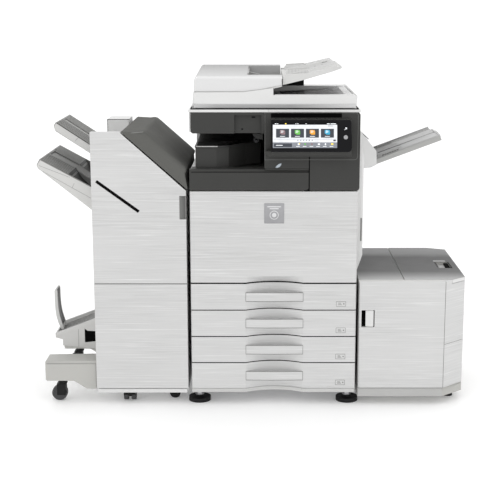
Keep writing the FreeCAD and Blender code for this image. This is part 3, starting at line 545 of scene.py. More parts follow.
def drawer_front(i):
    """One drawer front: scooped panel, full-width grip lip, dark edge strip and its paper-size plate."""
    low = DRAWER_Z + PITCH * i
    z0, z1 = low + GAP, low + PITCH - GAP
    number = 4 - i
    body = "drawer_%d" % number
    (Build("drawer_%d_panel" % number, body, "streaked", replaces="drawer_front_%d" % number)
     .loft([[(x, 30, z0), (x, d + 0.9, z0), (x, d, z0 + 0.9), (x, d, z1 - 0.9), (x, d + 0.9, z1),
             (x, 30, z1)] for x, d in ((x, corner(x) + bowl(x)) for x in FRONT_XS)]))
    sections = []
    for x in BOWL_XS:
        d = bowl(x)
        swell = -0.5 - 2.3 * math.cos((x - BOWL_X) / BOWL_HALF * math.pi / 2)
        back = min(8.0, d + 0.6)
        sections.append([(x, swell + 1.2, low + 30.6), (x, swell, low + 32.6), (x, swell, low + 59.4),
                         (x, swell + 1.3, low + 60.8), (x, back - 0.4, low + 60.8), (x, back, low + 42),
                         (x, d + 0.6, low + 35), (x, d + 0.6, z0 + 0.4), (x, max(0.9, d - 0.4), z0 + 0.4)])
    Build("drawer_%d_grip" % number, body, "streaked").loft(sections)
    # Grey lines along the grip's top and bottom edges and at its ends are painted shade in its creases.
    part = Build("drawer_%d_grip_crease" % number, body, "seam_soft")
    for z in (low + 30.0, low + 60.6):
        part.loft([[(x, y - 0.25, z), (x, y - 0.25, z + 1.1), (x, y + 1.8, z + 1.1), (x, y + 1.8, z)]
                   for x, y in ((x, section[1][1]) for x, section in zip(BOWL_XS, sections))])
    for x in (BOWL_XS[0] - 0.3, BOWL_XS[-1] - 0.9):
        part.box(WORLD, x, x + 1.2, -0.75, 1.0, low + 30, low + 61.4)
    (Build("drawer_%d_edge_strip" % number, body, "seam_black")
     .loft([[(x, d + 0.8, z1 - 0.2), (x, d + 0.8, z1 + 2.2), (x, 29, z1 + 2.2), (x, 29, z1 - 0.2)]
            for x, d in ((x, corner(x) + bowl(x)) for x in FRONT_XS[1:-1])]))
    face = front(0, 0, low)
    part = Build("drawer_%d_size_mark" % number, body, "mid_grey", 0.1)
    part.ring(face, 211, 244, 13, 31, 1.5, 1.2, 1.0, -0.5, 0.35)
    for k in range(3):
        part.box(face, 218, 231 - 2 * k, 18 + 3.2 * k, 19.4 + 3.2 * k, -0.3, 0.3)
    part.prism(face, circle(237, 22, 2.4, 16), -0.3, 0.3)
    paper_stack(number, low)


def paper_stack(number, low):
    """A drawer's contents: sheets on a lift plate, side guides, end stop and a blue release tab."""
    body = "drawer_%d" % number
    inside = side("top", 0, 0, low)
    (Build("drawer_%d_lift_plate" % number, body, "frame_steel", 0.2)
     .plate(inside, -236, 236, 44, 548, 6, 16, 17.2, (-40, 40, 440, 520, 8), (-30, 30, 90, 150, 8)))
    part = Build("drawer_%d_paper" % number, body, "paper", 0.15)
    for k in range(6):
        shift = (0.0, 0.6, -0.4, 0.3, -0.2, 0.5)[k]
        part.box(inside, -147 + shift, 150 + shift, 130 - shift, 540 - shift, 17.4 + 6 * k, 23.4 + 6 * k)
    part = Build("drawer_%d_guides" % number, body, "mid_grey", 0.6)
    for x, inward in ((-152, -1), (155, 1)):
        part.box(inside, x - 1.2, x + 1.2, 240, 420, 17.4, 66)
        part.box(inside, min(x, x + 26 * inward), max(x, x + 26 * inward), 250, 410, 17.4, 20)
    part.box(inside, -38, 38, 122, 126, 17.4, 64)
    (Build("drawer_%d_release_tab" % number, body, "lever_blue", 0.5)
     .plate(inside, -14, 14, 108, 121, 4, 17.6, 30, (-7, 7, 111, 118, 3)))


def front_cover():
    """The streaked cover over the engine, its undercut finger edge, ribs and plain badge plate."""
    seam = DRAWER_Z + 4 * PITCH
    sections = []
    for x in FRONT_XS:
        d, b = corner(x), bowl(x)
        sections.append([(x, 34, seam + 3), (x, d + b + 0.9, seam + 3), (x, d + b, seam + 3.9),
                         (x, d + 0.2, seam + 25), (x, d, seam + 27), (x, d, 739.6), (x, d + 1.4, 741),
                         (x, 34, 741), (x, 34, 738), (x, d + 4, 738), (x, d + 4, seam + 31),
                         (x, d + b + 3, seam + 8), (x, 34, seam + 8)])
    Build("front_cover_skin", "front_cover", "streaked", replaces="front_cover").loft(sections)
    part = Build("front_cover_ribs", "front_cover", "white_panel", 0.3)
    part.columns(WORLD, (-271, 271), 5, 5, 33.5, seam + 5, 740)
    part.columns(WORLD, spread(-216, 216, 7), 1.2, 3.5, 13, seam + 33, 737)
    for z in spread(seam + 50, 722, 5):
        part.box(WORLD, -267, 267, 3.5, 11, z - 1.2, z + 1.2)
    for x in (-246, 246):
        part.prism(right(x, 0, 700), [(4, -14), (30, -6), (33, 0), (30, 6), (22, 4), (4, 14)], -3, 3)
    face = front(0, 1.4, 668)
    (Build("badge_plate", "front_cover", "badge_grey", 0.2)
     .plate(face, -33, 33, -34, 34, 2, -0.6, 0.7)
     .ring(face, -33, 33, -34, 34, 2, 2, 1.5, 0.7, 1.2))
    part = Build("badge_relief", "front_cover", "badge_bright", 0.2)
    part.prism(face, circle(0, -6, 15), 0.6, 1.1, [circle(0, -6, 12.6)])
    part.prism(face, circle(0, -6, 7.5), 0.6, 1.3)
    for width, v in ((23, 22), (15, 15.5)):
        part.plate(face, -width, width, v - 1.6, v + 1.6, 1.5, 0.6, 1.1)


def base_skirt():
    """The shadowed skirt under the lowest drawer, and the four jack tabs below it."""
    (Build("base_skirt", "main_unit", "light_grey")
     .loft([[(x, d, 46), (x, d, 59), (x, 34, 59), (x, 34, 46)]
            for x, d in ((x, corner(x) + bowl(x) + 2.0) for x in FRONT_XS)]))
    part = Build("base_tabs", "main_unit", "black_plastic", 0.4)
    for x in (-206, -172, 160, 192):
        part.plate(front(40, x), -5, 5, 38, 47, 2, -16, 0)


# ------------------------------------------------------------------ engine and output bay
def engine_inside():
    """What the open front cover shows: inner panel, coloured cartridge ends, waste box and levers."""
    wall = front(128)
    holes = [circle(-170 + 90 * k, 640, 34) for k in range(4)]
    (Build("engine_inner_panel", "main_unit", "mid_grey", 0.6)
     .prism(wall, rounded(-262, 262, 440, 738, 6), 0, 4, holes + [rounded(176, 246, 560, 690, 8)])
     .columns(wall, (-250, 250), 3, 446, 730, 4, 12)
     .rows(wall, -244, 170, (590, 694), 1.5, 4, 8))
    for k, colour in enumerate(("black", "cyan", "magenta", "yellow")):
        middle = -170 + 90 * k
        face = front(58, middle, 640)
        (Build("toner_cap_%d" % k, "main_unit", "toner_" + colour, 0.6)
         .lathe(face, [(30.6, -14), (30.6, -2), (28.5, 0), (24, 0.4), (23, -1.5), (12, -1.5)])
         .plate(face, -26, 26, -13, 13, 6, 0, 9, (-18, 18, -6, 6, 4)))
    part = Build("waste_toner_box", "main_unit", "light_grey", 1.2)
    part.plate(wall, -226, 150, 462, 566, 10, 4, 34)
    part.plate(wall, -210, 134, 476, 552, 8, 34, 36, (-80, 10, 500, 530, 6))
    for u in (-190, 110):
        part.plate(wall, u, u + 18, 560, 584, 5, 8, 20)
    (Build("transfer_lever", "main_unit", "lever_green", 0.8)
     .lathe(front(124, 211, 630), [(24, 0), (24, 6), (21, 9), (9, 9), (9, 14), (7, 15)])
     .plate(front(110, 211, 630), -7, 7, -46, 12, 6, 0, 7))
    part = Build("jam_knobs", "main_unit", "lever_blue", 0.5)
    for u in (196, 226):
        part.lathe(front(124, u, 500), [(13, 0), (13, 12), (11, 14), (5, 14)], 20)


def bay():
    """The output bay: relay cap with a painted edge highlight, ledges, seams, lamp lens, sensor, exit
    rollers, ribs and ceiling.
    """
    part = Build("relay_cap", "main_unit", "dark_lid", 1.0)
    outline = [(-262, 33), (-188, 33), (-147, 55), (-93, 127), (-44, 174), (-44, 446), (-262, 446)]
    part.prism(WORLD, outline, 882.2, 888)
    for k in range(5):
        start = 52 + 24 * k
        part.box(WORLD, -256, -196 + 14 * k, start, start + 3, 888, 889.6)
    # A light-grey bead along the relay cap's front edge is a painted highlight.
    (Build("relay_edge_highlight", "main_unit", "light_grey")
     .rod((-258, 32.4, 886.5), (-190, 32.4, 886.5), 1.5)
     .rod((-190, 32.4, 886.5), (-186, 33.6, 886.5), 1.5))
    (Build("bay_ledge", "main_unit", "dark_panel")
     .extrude((-29, 44, 115.4), [(2.5, 812), (0.6, 813.6), (0.9, 817), (4, 820.5), (38, 821.5), (38, 811)]))
    (Build("bay_lip", "main_unit", "dark_panel")
     .extrude((-272, -150, -31), [(7, 810.3), (5.6, 812.4), (7, 814.6), (30, 817), (62, 816), (96, 811)]))
    edge = [(115.2, 818)] + [(115.2 - 8 * (1 - math.cos(t)), 754 - 8 * math.sin(t))
                             for t in spread(0, math.pi / 2, 6)] + [(100, 744.6), (100, 743)]
    outer = [(118.6, 742.4), (118.6, 818)]
    (Build("bay_seams", "main_unit", "seam_black")
     .prism(front(), edge + outer, -1.5, 0.25)
     .box(front(), 115.2, 118.6, 817, 862, -1, 0.3)
     .box(front(), -272, 115.2, 804.4, 806.8, -1, 0.15))
    leaf = [(-9, -5), (-4, 2), (3, 7), (11, 9), (10, 3), (5, -3), (-2, -6)]
    Build("job_lamp_lens", "main_unit", "lamp_lens", 0.5).prism(front(0, 14, 826), leaf, -0.5, 1.4)
    (Build("presence_sensor", "main_unit", "gloss_black", 0.4)
     .plate(front(14, -67, 985), -6, 6, -2.5, 2.5, 2, -0.5, 1.4)
     .plate(front(14, -104, 946), -3, 3, -3, 3, 2.5, -0.5, 0.8))
    part = Build("bay_exit_rollers", "main_unit", "rubber", 0.3)
    for y in (90, 190, 290, 390):
        part.lathe(front(y, -58, 902), [(9, -22), (10, -20), (10, 2), (9, 4)], 20)
    part.rod((-58, 60, 902), (-58, 430, 902), 3.2)
    part = Build("bay_ribs", "main_unit", "dark_panel", 0.3)
    for y in spread(60, 440, 9):
        part.prism(front(y), [(-36, 925), (-72, 925), (-60, 912), (-36, 906)], -1.2, 1.2)
    for x in spread(-236, -76, 9):
        part.box(side("under", x, 0, 932), -1.0, 1.0, -440, -60, 0, 2.4)
    Build("bay_ceiling", "main_unit", "black_plastic", 0.3).box(WORLD, -264, -33, 36, 460, 931, 934)


# ------------------------------------------------------------------ control panel
FACE_AXES = ((1, 0, 0), (0, 22, 104))
FACE = plane((121, -49, 932), *FACE_AXES)
KEYS = plane((232, -49, 932), *FACE_AXES)
FACE_LOW = -53.1
SCREEN_LEFT, SCREEN_TOP = -125, 41
TILE_W = 42.2
TILE_PITCH = 48.3
TILES = [(10.4 + TILE_PITCH * k, "ui_" + tone) for k, tone in enumerate(("rose", "green", "orange", "cyan"))]


def display(name, look, *plates):
    """Thin plates on the display: left and top from its corner, width, height, lift and corner radius."""
    part = Build(name, "panel", look)
    for left, top, width, tall, lift, radius in plates:
        u, v = left + SCREEN_LEFT, SCREEN_TOP - top
        part.plate(FACE, u, u + width, v - tall, v, radius, lift - 0.1, lift)


def home_screen():
    """The lit home screen: tiles, captions, divider, small marks and a generic icon on each tile."""
    display("screen_field", "ui_white", (0, 6.5, 208, 57, 0.45, 0))
    display("screen_lower_bar", "ui_grey", (0, 63.3, 208, 18.4, 0.45, 1.5))
    display("screen_tiles", "ui_dark", (4, 67, 58, 11.5, 0.55, 1.0),
            *((left, 19.5, TILE_W, 28.7, 0.55, 1.2) for left, _ in TILES),
            *((79.4 + 9.3 * k, 55.2, 3.0, 2.8, 0.55, 1.2) for k in range(6)),
            (195.5, 54.8, 8.5, 5.0, 0.55, 2.0))
    display("screen_captions", "ui_pale", *((left + 13, 43.2, 16, 1.6, 0.65, 0.5) for left, _ in TILES),
            *((left, 2.2, width, 2.4, 0.55, 0.8)
              for left, width in ((6.5, 5.5), (14, 3.5), (73, 3), (79, 4), (106, 3), (175, 9), (187, 17))),
            *((75.5 + 21.6 * k, 75.8, 12, 1.5, 0.6, 0.4) for k in range(6)), (10, 72, 22, 2, 0.65, 0.5),
            (80.6, 66.5, 6, 6, 0.6, 1.5), (145.5, 67, 7, 4.5, 0.6, 1.0), (168, 66.5, 4.5, 6, 0.6, 2.0))
    display("screen_divider", "ui_grey", (4, 52.6, 200, 0.8, 0.5, 0), (178, 9.5, 16, 1.8, 0.5, 0.6))
    display("screen_mark_ui_yellow", "ui_yellow", (39.5, 1.6, 4.5, 3.6, 0.7, 1.0),
            (84.5, 66, 3.5, 3.5, 0.7, 1.0), (188.6, 66.5, 7, 4.5, 0.7, 1.0))
    display("screen_mark_ui_green", "ui_green", (102, 66.5, 5, 5, 0.7, 1.0))
    display("screen_mark_ui_rose", "ui_rose", (123.5, 66.5, 5.5, 5.5, 0.7, 1.0))
    for k, (edge, colour) in enumerate(TILES):
        left = edge + TILE_W / 2
        display("screen_icon_%d" % k, colour, (left - 8.5, 23.4, 15.5, 12.5, 0.65, 2.0),
                (left - 4.5, 26.0, 13, 12.5, 0.62, 2.0))
        display("screen_icon_sheet_%d" % k, "ui_pale",
                *((left - 5.5, top, width, tall, 0.75, 0.5)
                  for top, width, tall in ((25.8, 8, 1.4), (28.8, 10, 1.2), (31.4, 6, 1.2))))


def control_panel():
    """The tilting panel: gloss front, housing, home screen, keys, lower mount and upper shadow slot."""
    keys = [rounded(111 - 8.2, 111 + 8.2, v - 8.2, v + 8.2, 8) for v in (-6, 22)]
    (Build("panel_front", "panel", "gloss_black", 0.8, replaces="control_panel")
     .prism(FACE, rounded(-131, 128.5, FACE_LOW, 50, (3, 12, 5, 3)), -4.5, 0.2, keys))
    (Build("panel_housing", "panel", "dark_panel", 2.0)
     .extrude((-9, 251), [(-36, 981), (-53.5, 884), (-44, 866), (-4, 865), (-4, 983)]))
    (Build("panel_frame", "panel", "gloss_black", 0.8)
     .plate(FACE, -131, 131, FACE_LOW, 52, (3, 13, 9, 3), -9, -4.5))
    shape = [(-27, 880), (-25, 871), (-19, 864.5), (-10, 862.5), (252, 862.5), (252, 880)]
    Build("panel_mount", "panel", "dark_panel", 1.5).prism(front(-3), shape, 0, 42)
    (Build("display_cover_glass", "panel", "display_glass", 0.2, replaces="display_screen")
     .plate(FACE, -128, 86, -44, 44, 2.5, -0.5, 0.35))
    home_screen()
    (Build("power_key_cap", "power_key", "key_chrome", 0.3, replaces="power_key")
     .lathe(KEYS @ Matrix.Translation((0, -6, 0)),
            [(7.0, -1.2), (7.0, 0.8), (6.4, 1.6), (5.4, 1.8), (4.2, 1.2), (2.5, 1.0)]))
    spot = KEYS @ Matrix.Translation((0, 22, 0))
    (Build("home_key_cap", "home_key", "gloss_black", 0.5, replaces="home_key")
     .plate(spot, -7.0, 7.0, -7.0, 7.0, 6, -0.8, 0.9))
    (Build("home_key_glyph", "home_key", "ui_pale")
     .prism(spot, [(-4.6, -4), (-3.6, -5), (2, 0.6), (2, -2.4), (3.6, -2.4), (3.6, 3.4), (-2.2, 3.4),
                   (-2.2, 1.8), (0.8, 1.8)], 0.8, 1.05))
    Build("panel_upper_slot", "main_unit", "seam_black").box(front(), -10, 222, 985, 1001, -1.5, 0.3)
    (Build("panel_surround_crease", "main_unit", "seam_soft")
     .ring(front(), -30, 276, 846, 1001, (2, 12, 9, 2), 1, (2, 11, 8, 2), -1, 0.35))


# ------------------------------------------------------------------ document feeder
def document_feeder():
    """Feed mouth, black inner walls partly painted as shade, a glossy exit floor with painted shade and
    light, rims and seams, then the tray and the lid's underside.
    """
    part = Build("feed_mouth_chute", "feeder_cover", "chute_grey", 0.4)
    part.box(WORLD, -86.4, 27, 90.6, 429.4, 1104.1, 1105)
    for k in range(9):
        y = 112 + 37 * k
        part.prism(front(y), [(-80, 1104), (26, 1104), (26, 1106.5), (-60, 1108.4), (-80, 1107)], -0.9, 0.9)
    part.box(WORLD, -86.4, -83, 92, 428, 1104, 1124)
    part.prism(front(262), [(-82, 1105), (-44, 1105), (-48, 1111), (-82, 1119)], -9, 9)
    # Black walls of the exit recess: the back wall is black plastic, and the black on the left walls is
    # painted shade.
    (Build("exit_inner_walls_and_shade", "adf", "black_plastic", 0.2)
     .box(front(477.8), 2.4, 113.6, 1037.2, 1081.6, 0, 0.9)
     .box(right(-2), 14, 478, 1057.4, 1079.2, 0, 0.9)
     .box(right(2), 34.5, 473.5, 1037.2, 1056.6, 0, 0.9))
    # The exit floor's tone, dark at the left and pale at the right, is painted shade and light.
    part = Build("exit_floor", "adf", "exit_floor_painted_shade")
    rise = [(x, 1037.2 + 18.5 * (x / 260) ** 1.7) for x in spread(2.6, 260, 12)]
    curved_floor(part, rise, 34.8, 473, 0.8, 0.6, 0.6)
    for y in spread(90, 420, 8):
        part.loft([[(x, y - 1.2, z), (x, y, z + 2.6), (x, y + 1.2, z)] for x, z in rise[1:-1]])
    # The skirt's undercut carries painted shade that varies across the machine.
    (Build("feeder_skirt_undercut", "adf", "undercut")
     .extrude((-262, 0, 268), [(7.9, 1015.2), (7.2, 1027), (9, 1027.6), (12, 1015.2)]))
    (Build("exit_tray_lip", "adf", "white_panel", 0.4)
     .extrude((2, 130, 262), [(8.6, 1054.6), (10, 1058), (20, 1059.6), (31, 1058.2), (33.4, 1054)])
     .loft([[(263.6, y, 1053.6), (266, y, 1058.6), (270, y, 1058), (272.6, y, 1053)]
            for y in (14, 200, 400, 552)]))
    Build("feeder_skirt_seam", "adf", "seam_soft").box(front(8), -266, 270, 1028.4, 1029.0, -1, 0.1)
    (Build("feeder_seam_filler", "adf", "light_grey")
     .prism(front(14.9), [(-257, 1064.5), (-100, 1064.5), (-40, 1069.5), (26, 1084), (26, 1090.2),
                          (-40, 1075.6), (-100, 1068.6), (-257, 1068.6)], -6, 0))
    (Build("feeder_cover_seams", "feeder_cover", "seam_soft")
     .box(front(14), 25.2, 27.2, 1091, 1109, -1, 0.4))
    (Build("lid_gasket", "main_unit", "seam_black")
     .box(front(3.2), -272, 276, 1011, 1014.6, -1, 0)
     .box(right(277), 4, 552, 1011.0, 1014.4, -1, 0)
     .box(side("left", -273, 0, 0), -552, -4, 1011.0, 1014.4, -1, 0))
    Build("scanner_band_seam", "main_unit", "seam_soft").box(front(), -17.4, -16.8, 1002, 1011, -1, 0.12)
    (Build("feeder_cover_marks", "feeder_cover", "light_grey", 0.3)
     .plate(WORLD, -256, -92, 486, 500, 3, 1128.8, 1131.4))
    document_tray()
    lid_underside()


def document_tray():
    """Raised paper rails and marks on the document tray, and the guides' ribs."""
    slope = plane((29, 247, 1121), (104, 0, 25), (0, 1, 0))
    (Build("document_tray_rails", "document_tray", "white_panel", 0.3)
     .rows(slope, 12, 178, spread(-186, 186, 9), 1.4, -4.5, -2.2))
    part = Build("document_tray_marks", "document_tray", "mid_grey", 0.1)
    for k, u in enumerate((60, 84, 108, 132)):
        part.rows(slope, u, u + 8, (-150 + 14 * k, 150 - 14 * k), 0.9, -2.6, -2.0)
    part.prism(slope, circle(150, 0, 9), -4.5, -2.4, [circle(150, 0, 7.8)])
    for name, y, low in (("front", 99, 2.8), ("rear", 399, -3.6)):
        part = Build("document_guide_grip_" + name, "document_guide_" + name, "light_grey", 0.2)
        for x in spread(50, 104, 6):
            part.box(front(y, x), -0.8, 0.8, 1123.5, 1136, low, low + 0.8)
        part.rod((46, y, 1136.4), (112, y, 1140.2), 3.2)


def lid_underside():
    """What the raised lid and the glass show: pad clips, feeder slit, scale, carriage and hinge cheeks."""
    part = Build("pad_clips", "adf", "light_grey")
    for x in (-190, 10, 210):
        for y in (84, 396):
            part.prism(side("under", x, y, 1011.7), circle(0, 0, 5), -0.3, 0.15)
    (Build("feeder_slit", "adf", "light_grey", 0.2)
     .plate(side("under", -235, 0, 1015), -9, 9, -396, -84, 3, 0, 1.6, (-5, 5, -390, -90, 3)))
    part = Build("original_scale", "main_unit", "mid_grey")
    for k in range(28):
        tall = 9 if k % 4 == 0 else 5
        part.box(side("top", -212, 86 + 11 * k, 0), -tall, 0, -0.4, 0.4, 1011.0, 1011.25)
    part.prism(side("top", -214, 70, 0), [(-8, 0), (0, -6), (0, 6)], 1011.0, 1011.25)
    (Build("carriage_lamp", "carriage", "ui_white", 0.2)
     .rod((-222, 86, 974.5), (-222, 474, 974.5), 2.6)
     .box(WORLD, -247, -243, 84, 476, 978, 979.5))
    (Build("carriage_mirror", "carriage", "key_chrome", 0.2)
     .box(plane((-232, 280, 971), (1, 0, 0.7), (0, 1, 0)), -4, 4, -196, 196, 0, 1.0))
    part = Build("carriage_rails", "main_unit", "frame_steel", 0.2)
    part.box(WORLD, -252, 246, 61.5, 63.0, 962, 968)
    for y in (76, 486):
        part.rod((-254, y, 952.5), (246, y, 952.5), 3.5)
    part = Build("hinge_cheeks", "main_unit", "light_grey", 0.3)
    for x in (-200, 200):
        part.plate(right(x - 23.5), 564, 606, 1011.4, 1046, (2, 2, 16, 16), 0, 1.2)
        part.plate(right(x + 22.3), 564, 606, 1011.4, 1046, (2, 2, 16, 16), 0, 1.2)


# ------------------------------------------------------------------ bypass and side door
BYPASS_Z = 814
BYPASS_SLOPE = 20.5


def bypass():
    """Ribs, marks, skirt and link arms of the fold-up side tray, and the side door's rollers and marks."""
    turn = math.radians(BYPASS_SLOPE)
    along = (math.cos(turn), 0, math.sin(turn))
    slope = plane((336, 300, BYPASS_Z), along, (0, 1, 0))
    (Build("bypass_ribs", "bypass_tray", "tray_light", 0.3)
     .rows(slope, 18, 246, (-134, -120, -106, 106, 120, 134), 1.3, 4.6, 6.0)
     .rows(slope, 14, 116, (-70, -50, 50, 70), 1.3, 4.6, 5.9)
     .extrude((12, 130, 249), [(-150.2, -6.4), (-150.9, -3), (-150.9, 7), (-149.6, 9.6), (-146.5, 10.6),
                               (-145, 9)], slope))
    part = Build("bypass_marks", "bypass_tray", "mid_grey")
    for k, v in enumerate((-96, -84, 84, 96)):
        part.box(slope, 30 + 3 * k, 44 + 3 * k, v - 0.6, v + 0.6, 5.0, 5.25)
    part.box(slope, 118.4, 119.8, -90, 90, 3.6, 5.2)
    (Build("bypass_front_skirt", "bypass_tray", "tray_light", 0.6)
     .prism(plane((336, 149, BYPASS_Z), along, (-math.sin(turn), 0, math.cos(turn))),
            [(2, -7), (250, -7), (250, 4), (246, 8), (2, 8)], 0.2, 1.6))
    (Build("bypass_extension_ribs", "bypass_extension", "tray_light", 0.3)
     .plate(slope, 256.4, 259.6, -40, 40, 1.2, -5.5, 3.6)
     .rows(slope, 140, 246, spread(-60, 60, 7), 1, 0.4, 1.3))
    for name, y in (("front", 179), ("rear", 421)):
        (Build("bypass_guide_ribs_" + name, "bypass_guide_" + name, "light_grey", 0.2)
         .columns(slope, spread(52, 96, 6), 0.8, y - 300 - 3.7, y - 300 + 3.7, 8.5, 11.5))
    gap = front(450.8)
    (Build("bypass_link_arms", "side_door", "seam_black")
     .prism(gap, [(303, 912.1), (352, 865.1), (350, 862.9), (301, 909.9)], 0, 0.6)
     .prism(gap, [(323.1, 887.7), (339.1, 861.7), (336.9, 860.3), (320.9, 886.3)], 0, 0.6))
    part = Build("bypass_feed_rollers", "side_door", "rubber", 0.3)
    part.plate(right(303), 153, 447, 832, 868, 4, 0, 0.8)
    for y in (240, 300, 360):
        part.rod((306, y - 16, 840), (306, y + 16, 840), 8)
    part = Build("side_door_marks", "side_door", "seam_soft")
    for y in (82, 92, 102):
        part.plate(right(303, y), -2, 2, 700, 770, 2, -0.6, 0.25)
    part.ring(right(303), 240, 350, 560, 620, 10, 3, 8, -0.6, 0.4)
    part.plate(front(70, 297), -3, 2, 560, 640, 2, -0.5, 0.3)
    (Build("side_door_handle", "side_door", "light_grey", 1.0)
     .plate(right(303), 246, 344, 566, 606, 8, -0.2, 0.5)
     .plate(right(303), 250, 340, 592, 612, 5, -0.2, 3.2))
    (Build("side_door_inner_guides", "side_door", "black_plastic", 0.3)
     .rows(side("left", 283, 0, 0), -500, -90, spread(560, 780, 6), 1, 0, 6)
     .rod((276, 140, 690), (276, 450, 690), 5))


# ------------------------------------------------------------------ side cassette
def cassette():
    """Softly domed top skins with painted light and shade, a front rim painted lighter, seams, latch, plinth
    and the paper pile on the lift table.
    """
    sections = []
    for y in spread(24.6, 556, 14):
        lift = 436.1 + 3.0 * math.sin(math.pi * (y - 24.6) / 531.4) ** 0.6
        sections.append([(287.4, y, 436.0), (288.2, y, lift), (439.8, y, lift), (440.6, y, 436.0)])
    # The top skins carry painted light and shade along the machine.
    Build("cassette_top_left", "cassette", "cassette_top_painted_shade").loft(sections)
    (Build("cassette_top_right", "cassette_lid", "cassette_top_painted_shade", 0.4)
     .prism(WORLD, [(443.4, 24.5), (604.6, 24.5), (654.4, 71.2), (654.4, 524.6), (586, 556.6),
                    (443.4, 556.6)], 435.6, 436.9, [rounded(585.4, 629.6, 203.4, 299.6, 2)]))
    # The front rim is painted lighter: painted light on the rounded front edge.
    (Build("cassette_front_rim", "cassette", "warm_painted_light")
     .extrude((287.6, 430, 578), [(0.8, 431), (1.4, 435.6), (4, 437.4), (18, 437.4), (23, 436.0),
                                  (23, 431)]))
    slant = plane((580, 0, 0), (75, 70, 0), (0, 0, 1))
    (Build("cassette_seams", "cassette", "seam_soft")
     .box(front(0, 579.6), -0.8, 0.8, 62, 435, -1, 0.3)
     .box(slant, 2, 100, 214.6, 216, -1, 0.25)
     .box(front(), 287.5, 577, 60.4, 62.2, -1, 0.2)
     .box(front(), 286.2, 287.4, 34, 436, -6, 0.0))
    Build("cassette_plinth", "cassette", "plinth_grey", 0.5).box(front(2.4), 288, 578, 31, 60, 0, 1.2)
    (Build("cassette_latch_well", "cassette", "seam_black", 0.2)
     .plate(front(15.4), 297.6, 341.4, 276.6, 335.4, 1.5, 0, 0.8))
    (Build("cassette_latch_surround", "cassette", "white_panel", 0.3)
     .ring(front(), 295.4, 343.6, 274.4, 337.6, 2.5, 1.8, 1.5, -0.6, 0.5))
    (Build("cassette_latch_paddle", "cassette_latch", "white_panel", 0.7, replaces="lcc_latch_handle")
     .plate(front(2), 311.4, 338.4, 277.8, 334.2, 2.5, -7, 0.6)
     .plate(front(2), 313.6, 322, 281, 331, 2, 0.6, 1.6))
    (Build("cassette_lid_grip", "cassette_lid", "chute_grey", 0.3)
     .ring(WORLD, 582, 633, 200, 303, 3, 3.4, 2, 435.6, 436.9)
     .plate(WORLD, 586, 629, 204, 299, 2, 428.1, 428.9)
     # A lighter strip just behind the grip recess is a painted highlight on its back rim.
     .plate(WORLD, 580, 624, 306, 326, 5, 435.8, 437.2))
    (Build("cassette_lid_edge", "cassette_lid", "white_panel", 0.2)
     .box(plane((605, 24, 0), (50, 47, 0), (0, 0, 1)), 0, 68.6, 423.5, 435.2, -0.5, 0.8))
    # A black block in the right part of the grip recess is painted shade on the recess's right wall.
    (Build("cassette_lid_grip_shade", "cassette_lid", "seam_black", 0.3)
     .plate(WORLD, 614, 628, 207, 296, 1.5, 428.9, 434))
    part = Build("cassette_paper", "cassette_table", "paper", 0.15)
    for k in range(9):
        shift = (0.0, 0.7, -0.5, 0.4, -0.3, 0.6, -0.6, 0.2, -0.1)[k]
        part.box(WORLD, 340 + shift, 550 + shift, 126 - shift, 423 - shift, 70.2 + 4 * k, 74.2 + 4 * k)
    part = Build("cassette_paper_guides", "cassette", "lever_green", 0.4)
    part.box(WORLD, 336, 338.4, 200, 340, 60.5, 62)
    for y in (118, 430):
        part.plate(front(y), 420, 480, 62, 400, 4, -1.2, 1.2, (430, 470, 200, 380, 4))
    wall = right(655)
    (Build("cassette_side_louvres", "cassette", "seam_soft")
     .rows(wall, 240, 380, spread(120, 180, 7), 1.6, -0.5, 0.35, 1.5))
    part = Build("cassette_back_cover", "cassette", "light_grey", 0.2)
    wall = side("back", 471, 560, 0)
    part.ring(wall, -108, 160, 60, 400, 8, 3, 6, -0.4, 0.8)
    for u in (-90, 140):
        for v in (80, 380):
            part.lathe(wall @ Matrix.Translation((u, v, 0)), [(4, 0), (4, 1.2), (2.6, 2.0)], 16)


# ------------------------------------------------------------------ finisher
FIN_LEFT, FIN_RIGHT = -604, -291


